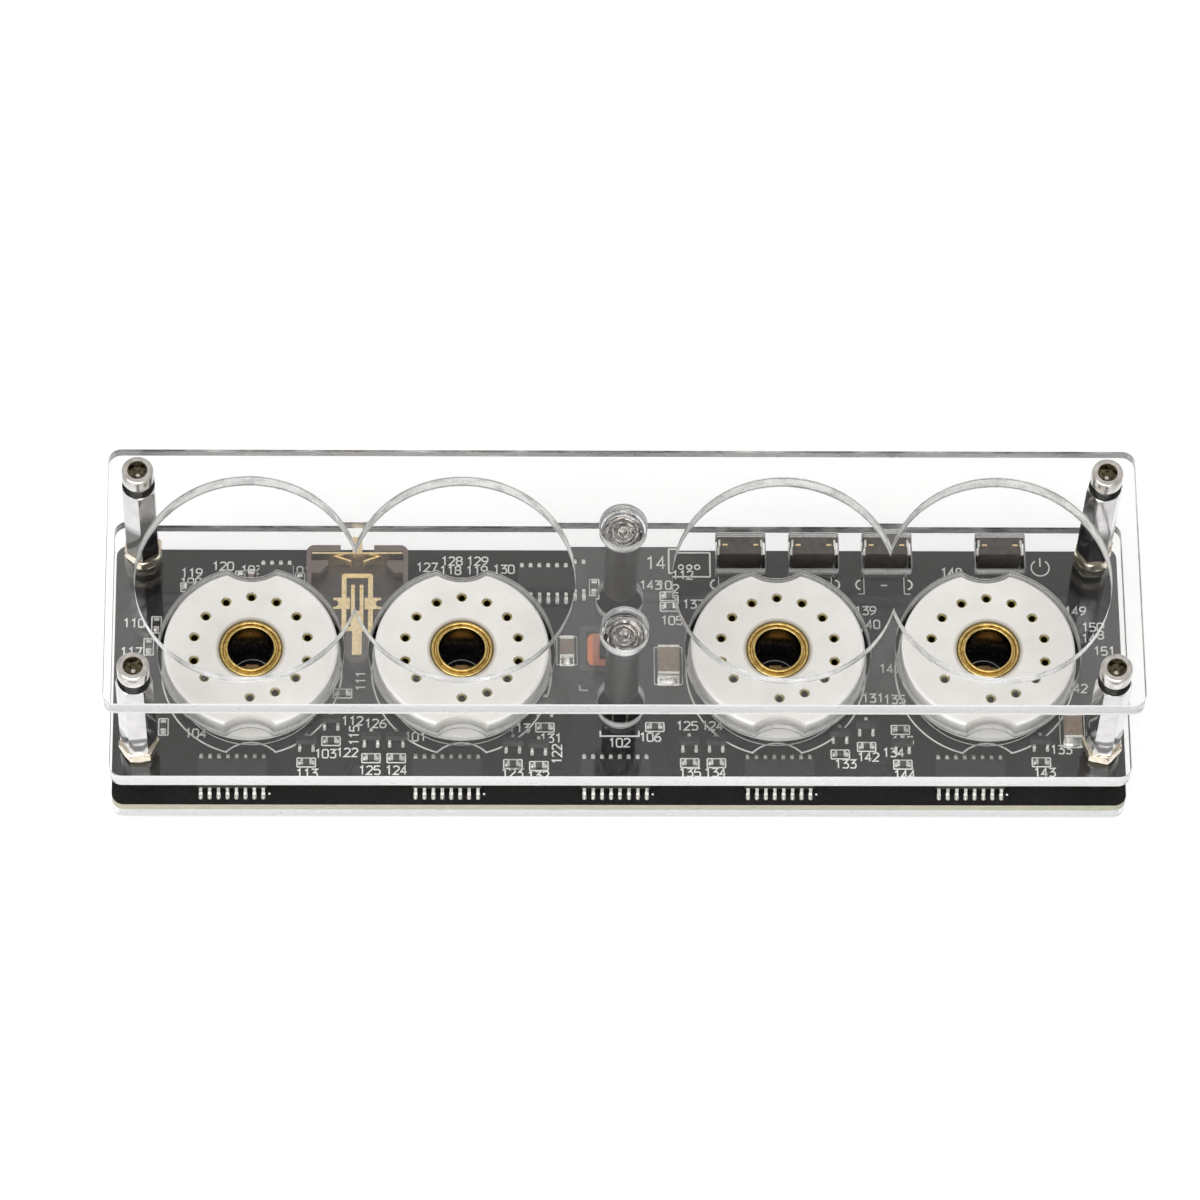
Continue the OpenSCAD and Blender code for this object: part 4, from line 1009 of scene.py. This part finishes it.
# The lamps' broken rings of electrode metal: radius, height over the sleeve, thickness
LAMP_RINGS = ((1.98, 0.9, 0.3), (1.7, 1.2, 0.26), (1.42, 0.8, 0.22), (1.15, 1.3, 0.2),
              (0.85, 0.95, 0.24), (0.55, 1.25, 0.2))


def lamp_works(end, at):
    """A neon lamp's inside: a rolled cup, a post with its bead, getter strips and the two leads."""
    low = corners(f"lamp_electrodes_{end}")[0].z
    top = corners(f"lamp_sleeve_{end}")[1].z
    x, y = at
    lead_x, lead_r, lead_top = 1.0, 0.25, top - 0.9
    cup_low, cup_floor, cup_rim = top - 1.0, top - 0.75, top + 0.7
    post_r, post_back, bead = 0.3, 0.2, top + 1.15
    piece = Piece()
    for side in (-1, 1):
        piece.lathe([(0, low), (lead_r, low), (lead_r, lead_top), (0, lead_top)],
                    (x + side * lead_x, y), 16)
    piece.lathe([(0, cup_low), (1.75, cup_low), (1.82, top - 0.8), (1.9, cup_rim), (1.75, cup_rim),
                 (1.67, cup_floor), (0, cup_floor)], at, 40)
    chance = random.Random(f"lamp {end}")
    for radius, height, thickness in LAMP_RINGS:
        start = chance.uniform(0, 360)
        sweep = chance.choice((230, 270, 310))
        tilt = (chance.uniform(-9, 9), chance.uniform(-9, 9))
        broken_ring(piece, (x, y, top + height), radius, thickness, tilt, start, sweep)
    piece.lathe([(0, cup_floor), (post_r, cup_floor), (post_r, top + 1.0), (0.42, bead),
                 (0.36, top + 1.42), (0, top + 1.5)], (x, y + post_back), 24)
    for angle in (20, 95, 170, 250, 320):
        turn = angle + chance.uniform(-15, 15)
        a = math.radians(turn)
        height = top + 0.4 + chance.uniform(0, 0.5)
        piece.box((x + math.cos(a), y + math.sin(a), height), (0.75, 0.12, 0.5), turn + 60)
    return piece


def lamp_head(end, at):
    """A neon lamp's glass: a thin body, and a head that is thick over the electrodes."""
    low, high = corners(f"lamp_glass_{end}")
    sleeve_top = corners(f"lamp_sleeve_{end}")[1].z
    body_r, neck_r, head_r = 2.15, 0.6, (high.x - low.x) / 2
    wide = Z_TOP - 1.7
    flare = [(head_r - (head_r - body_r) * math.cos(math.radians(a)),
              sleeve_top + (wide - sleeve_top) * math.sin(math.radians(a))) for a in range(0, 91, 10)]
    dome = [(head_r * math.cos(math.radians(a)), wide + (high.z - wide) * math.sin(math.radians(a)))
            for a in range(9, 91, 9)]
    cavity = [(0, sleeve_top + 1.95), (1.3, sleeve_top + 1.9), (2.1, sleeve_top + 1.65),
              (2.35, sleeve_top + 1.1), (2.05, sleeve_top), (1.95, low.z + 1.6), (neck_r, low.z + 1.5)]
    outside = [(neck_r, low.z), (body_r - 0.2, low.z), (body_r, low.z + 0.25)] + flare + dome[:-1]
    return Piece().lathe(outside + [(0, high.z)] + cavity, at, 56)


for end, at in zip(("front", "rear"), LAMPS):
    lamp_works(end, at).finish(f"lamp_works_{end}", LAMP_METAL, "lamp_metal",
                               replaces=[f"lamp_electrodes_{end}"], angle=50)
    lamp_head(end, at).finish(f"lamp_head_{end}", GLASS, "lamp_glass",
                              replaces=[f"lamp_glass_{end}"], angle=60)

# ---- Bright parts of the push buttons ----


def switch_details():
    """The bright tongues at a switch's sides and the two gold contact tips on its top."""
    tongue, tip = (0.34, 1.1, 0.66), (0.72, 0.26, 0.06)
    rear = corners("switch_frame_1")[1].y
    tongues, tips = Piece(), Piece()
    for x in SWITCHES:
        for side in (-1, 1):
            tongues.box((x + side * 3.03, rear - 1.25, SWITCH_TOP - 0.3), tongue)
            tips.box((x + side * 2.2, rear - 1.55, SWITCH_TOP + 0.01), tip)
    return tongues, tips


tongues, tips = switch_details()
tongues.finish("switch_tongues", TIN, "tinned", bevel=0.05)
tips.finish("switch_tips", CELL_GOLD, "gold_contact", bevel=0.02)

# ---- Floor, light, world and camera ----

FLOOR_SIDE = 6000
MATT_LIGHT = 0.55
# The camera was fitted to the plates' corners: its place, its turns in degrees, its lens and sensor
CAMERA_AT = (-27.136, -444.810, 900.727)
CAMERA_TURN = (27.04705, -1.30184, -0.5327)
CAMERA_LENS, CAMERA_SENSOR = 209.24, 36


def stage():
    """The floor, with its top at the foot of the clock."""
    piece = Piece()
    piece.box((0, 0, -0.5), (FLOOR_SIDE, FLOOR_SIDE, 1))
    piece.object("floor", floor_white())


def place_in_scene(name, data, at):
    """Makes the object of a light or a camera."""
    made = bpy.data.objects.new(name, data)
    made.location = Vector(at) * MM
    bpy.context.scene.collection.objects.link(made)
    return made


def area_light(name, at, target, size, power):
    light = bpy.data.lights.new(name, "AREA")
    light.shape = "RECTANGLE"
    light.size, light.size_y = [side * MM for side in size]
    light.energy = power
    made = place_in_scene(name, light, at)
    made.rotation_euler = (Vector(target) - Vector(at)).to_track_quat("-Z", "Y").to_euler()


def world():
    """White where seen directly or through glass, even light on matt parts, a warm room in gloss."""
    made = bpy.data.worlds.new("studio")
    made.use_nodes = True
    tree = made.node_tree
    white = (*WHITE, 1)
    place = add_node(tree, "TexCoord").outputs["Generated"]
    up = add_node(tree, "SeparateXYZ", {"Vector": place}).outputs["Z"]
    height = add_node(tree, "MapRange", {"Value": up, "From Min": -1}).outputs["Result"]
    room = add_ramp(tree, height, ((0.5, (0.5, 0.49, 0.47)), (0.97, (0.79, 0.765, 0.73))))
    gloss = add_node(tree, "Background", {"Color": room})
    matt = add_node(tree, "Background", {"Color": white, "Strength": MATT_LIGHT})
    plain = add_node(tree, "Background", {"Color": white})
    ray = add_node(tree, "LightPath").outputs
    seen = add_node(tree, "Math", {0: ray["Is Camera Ray"], 1: ray["Is Transmission Ray"]},
                    operation="MAXIMUM")
    by_use = add_node(tree, "MixShader", {"Fac": ray["Is Diffuse Ray"], 1: gloss.outputs[0],
                                          2: matt.outputs[0]})
    by_sight = add_node(tree, "MixShader", {"Fac": seen.outputs[0], 1: by_use.outputs[0],
                                            2: plain.outputs[0]})
    tree.links.new(by_sight.outputs[0], tree.nodes["World Output"].inputs["Surface"])
    bpy.context.scene.world = made


def camera():
    """The photograph's view: from the front, high above, a little from the left."""
    data = bpy.data.cameras.new("camera")
    data.lens = CAMERA_LENS
    data.sensor_width = CAMERA_SENSOR
    data.clip_end = 10
    made = place_in_scene("camera", data, CAMERA_AT)
    made.rotation_euler = [math.radians(angle) for angle in CAMERA_TURN]
    bpy.context.scene.camera = made


stage()
world()
camera()
area_light("softbox", at=(-260, -660, 780), target=(0, 0, 20), size=(1600, 1100), power=11.5)
bpy.context.scene.view_settings.view_transform = "Standard"
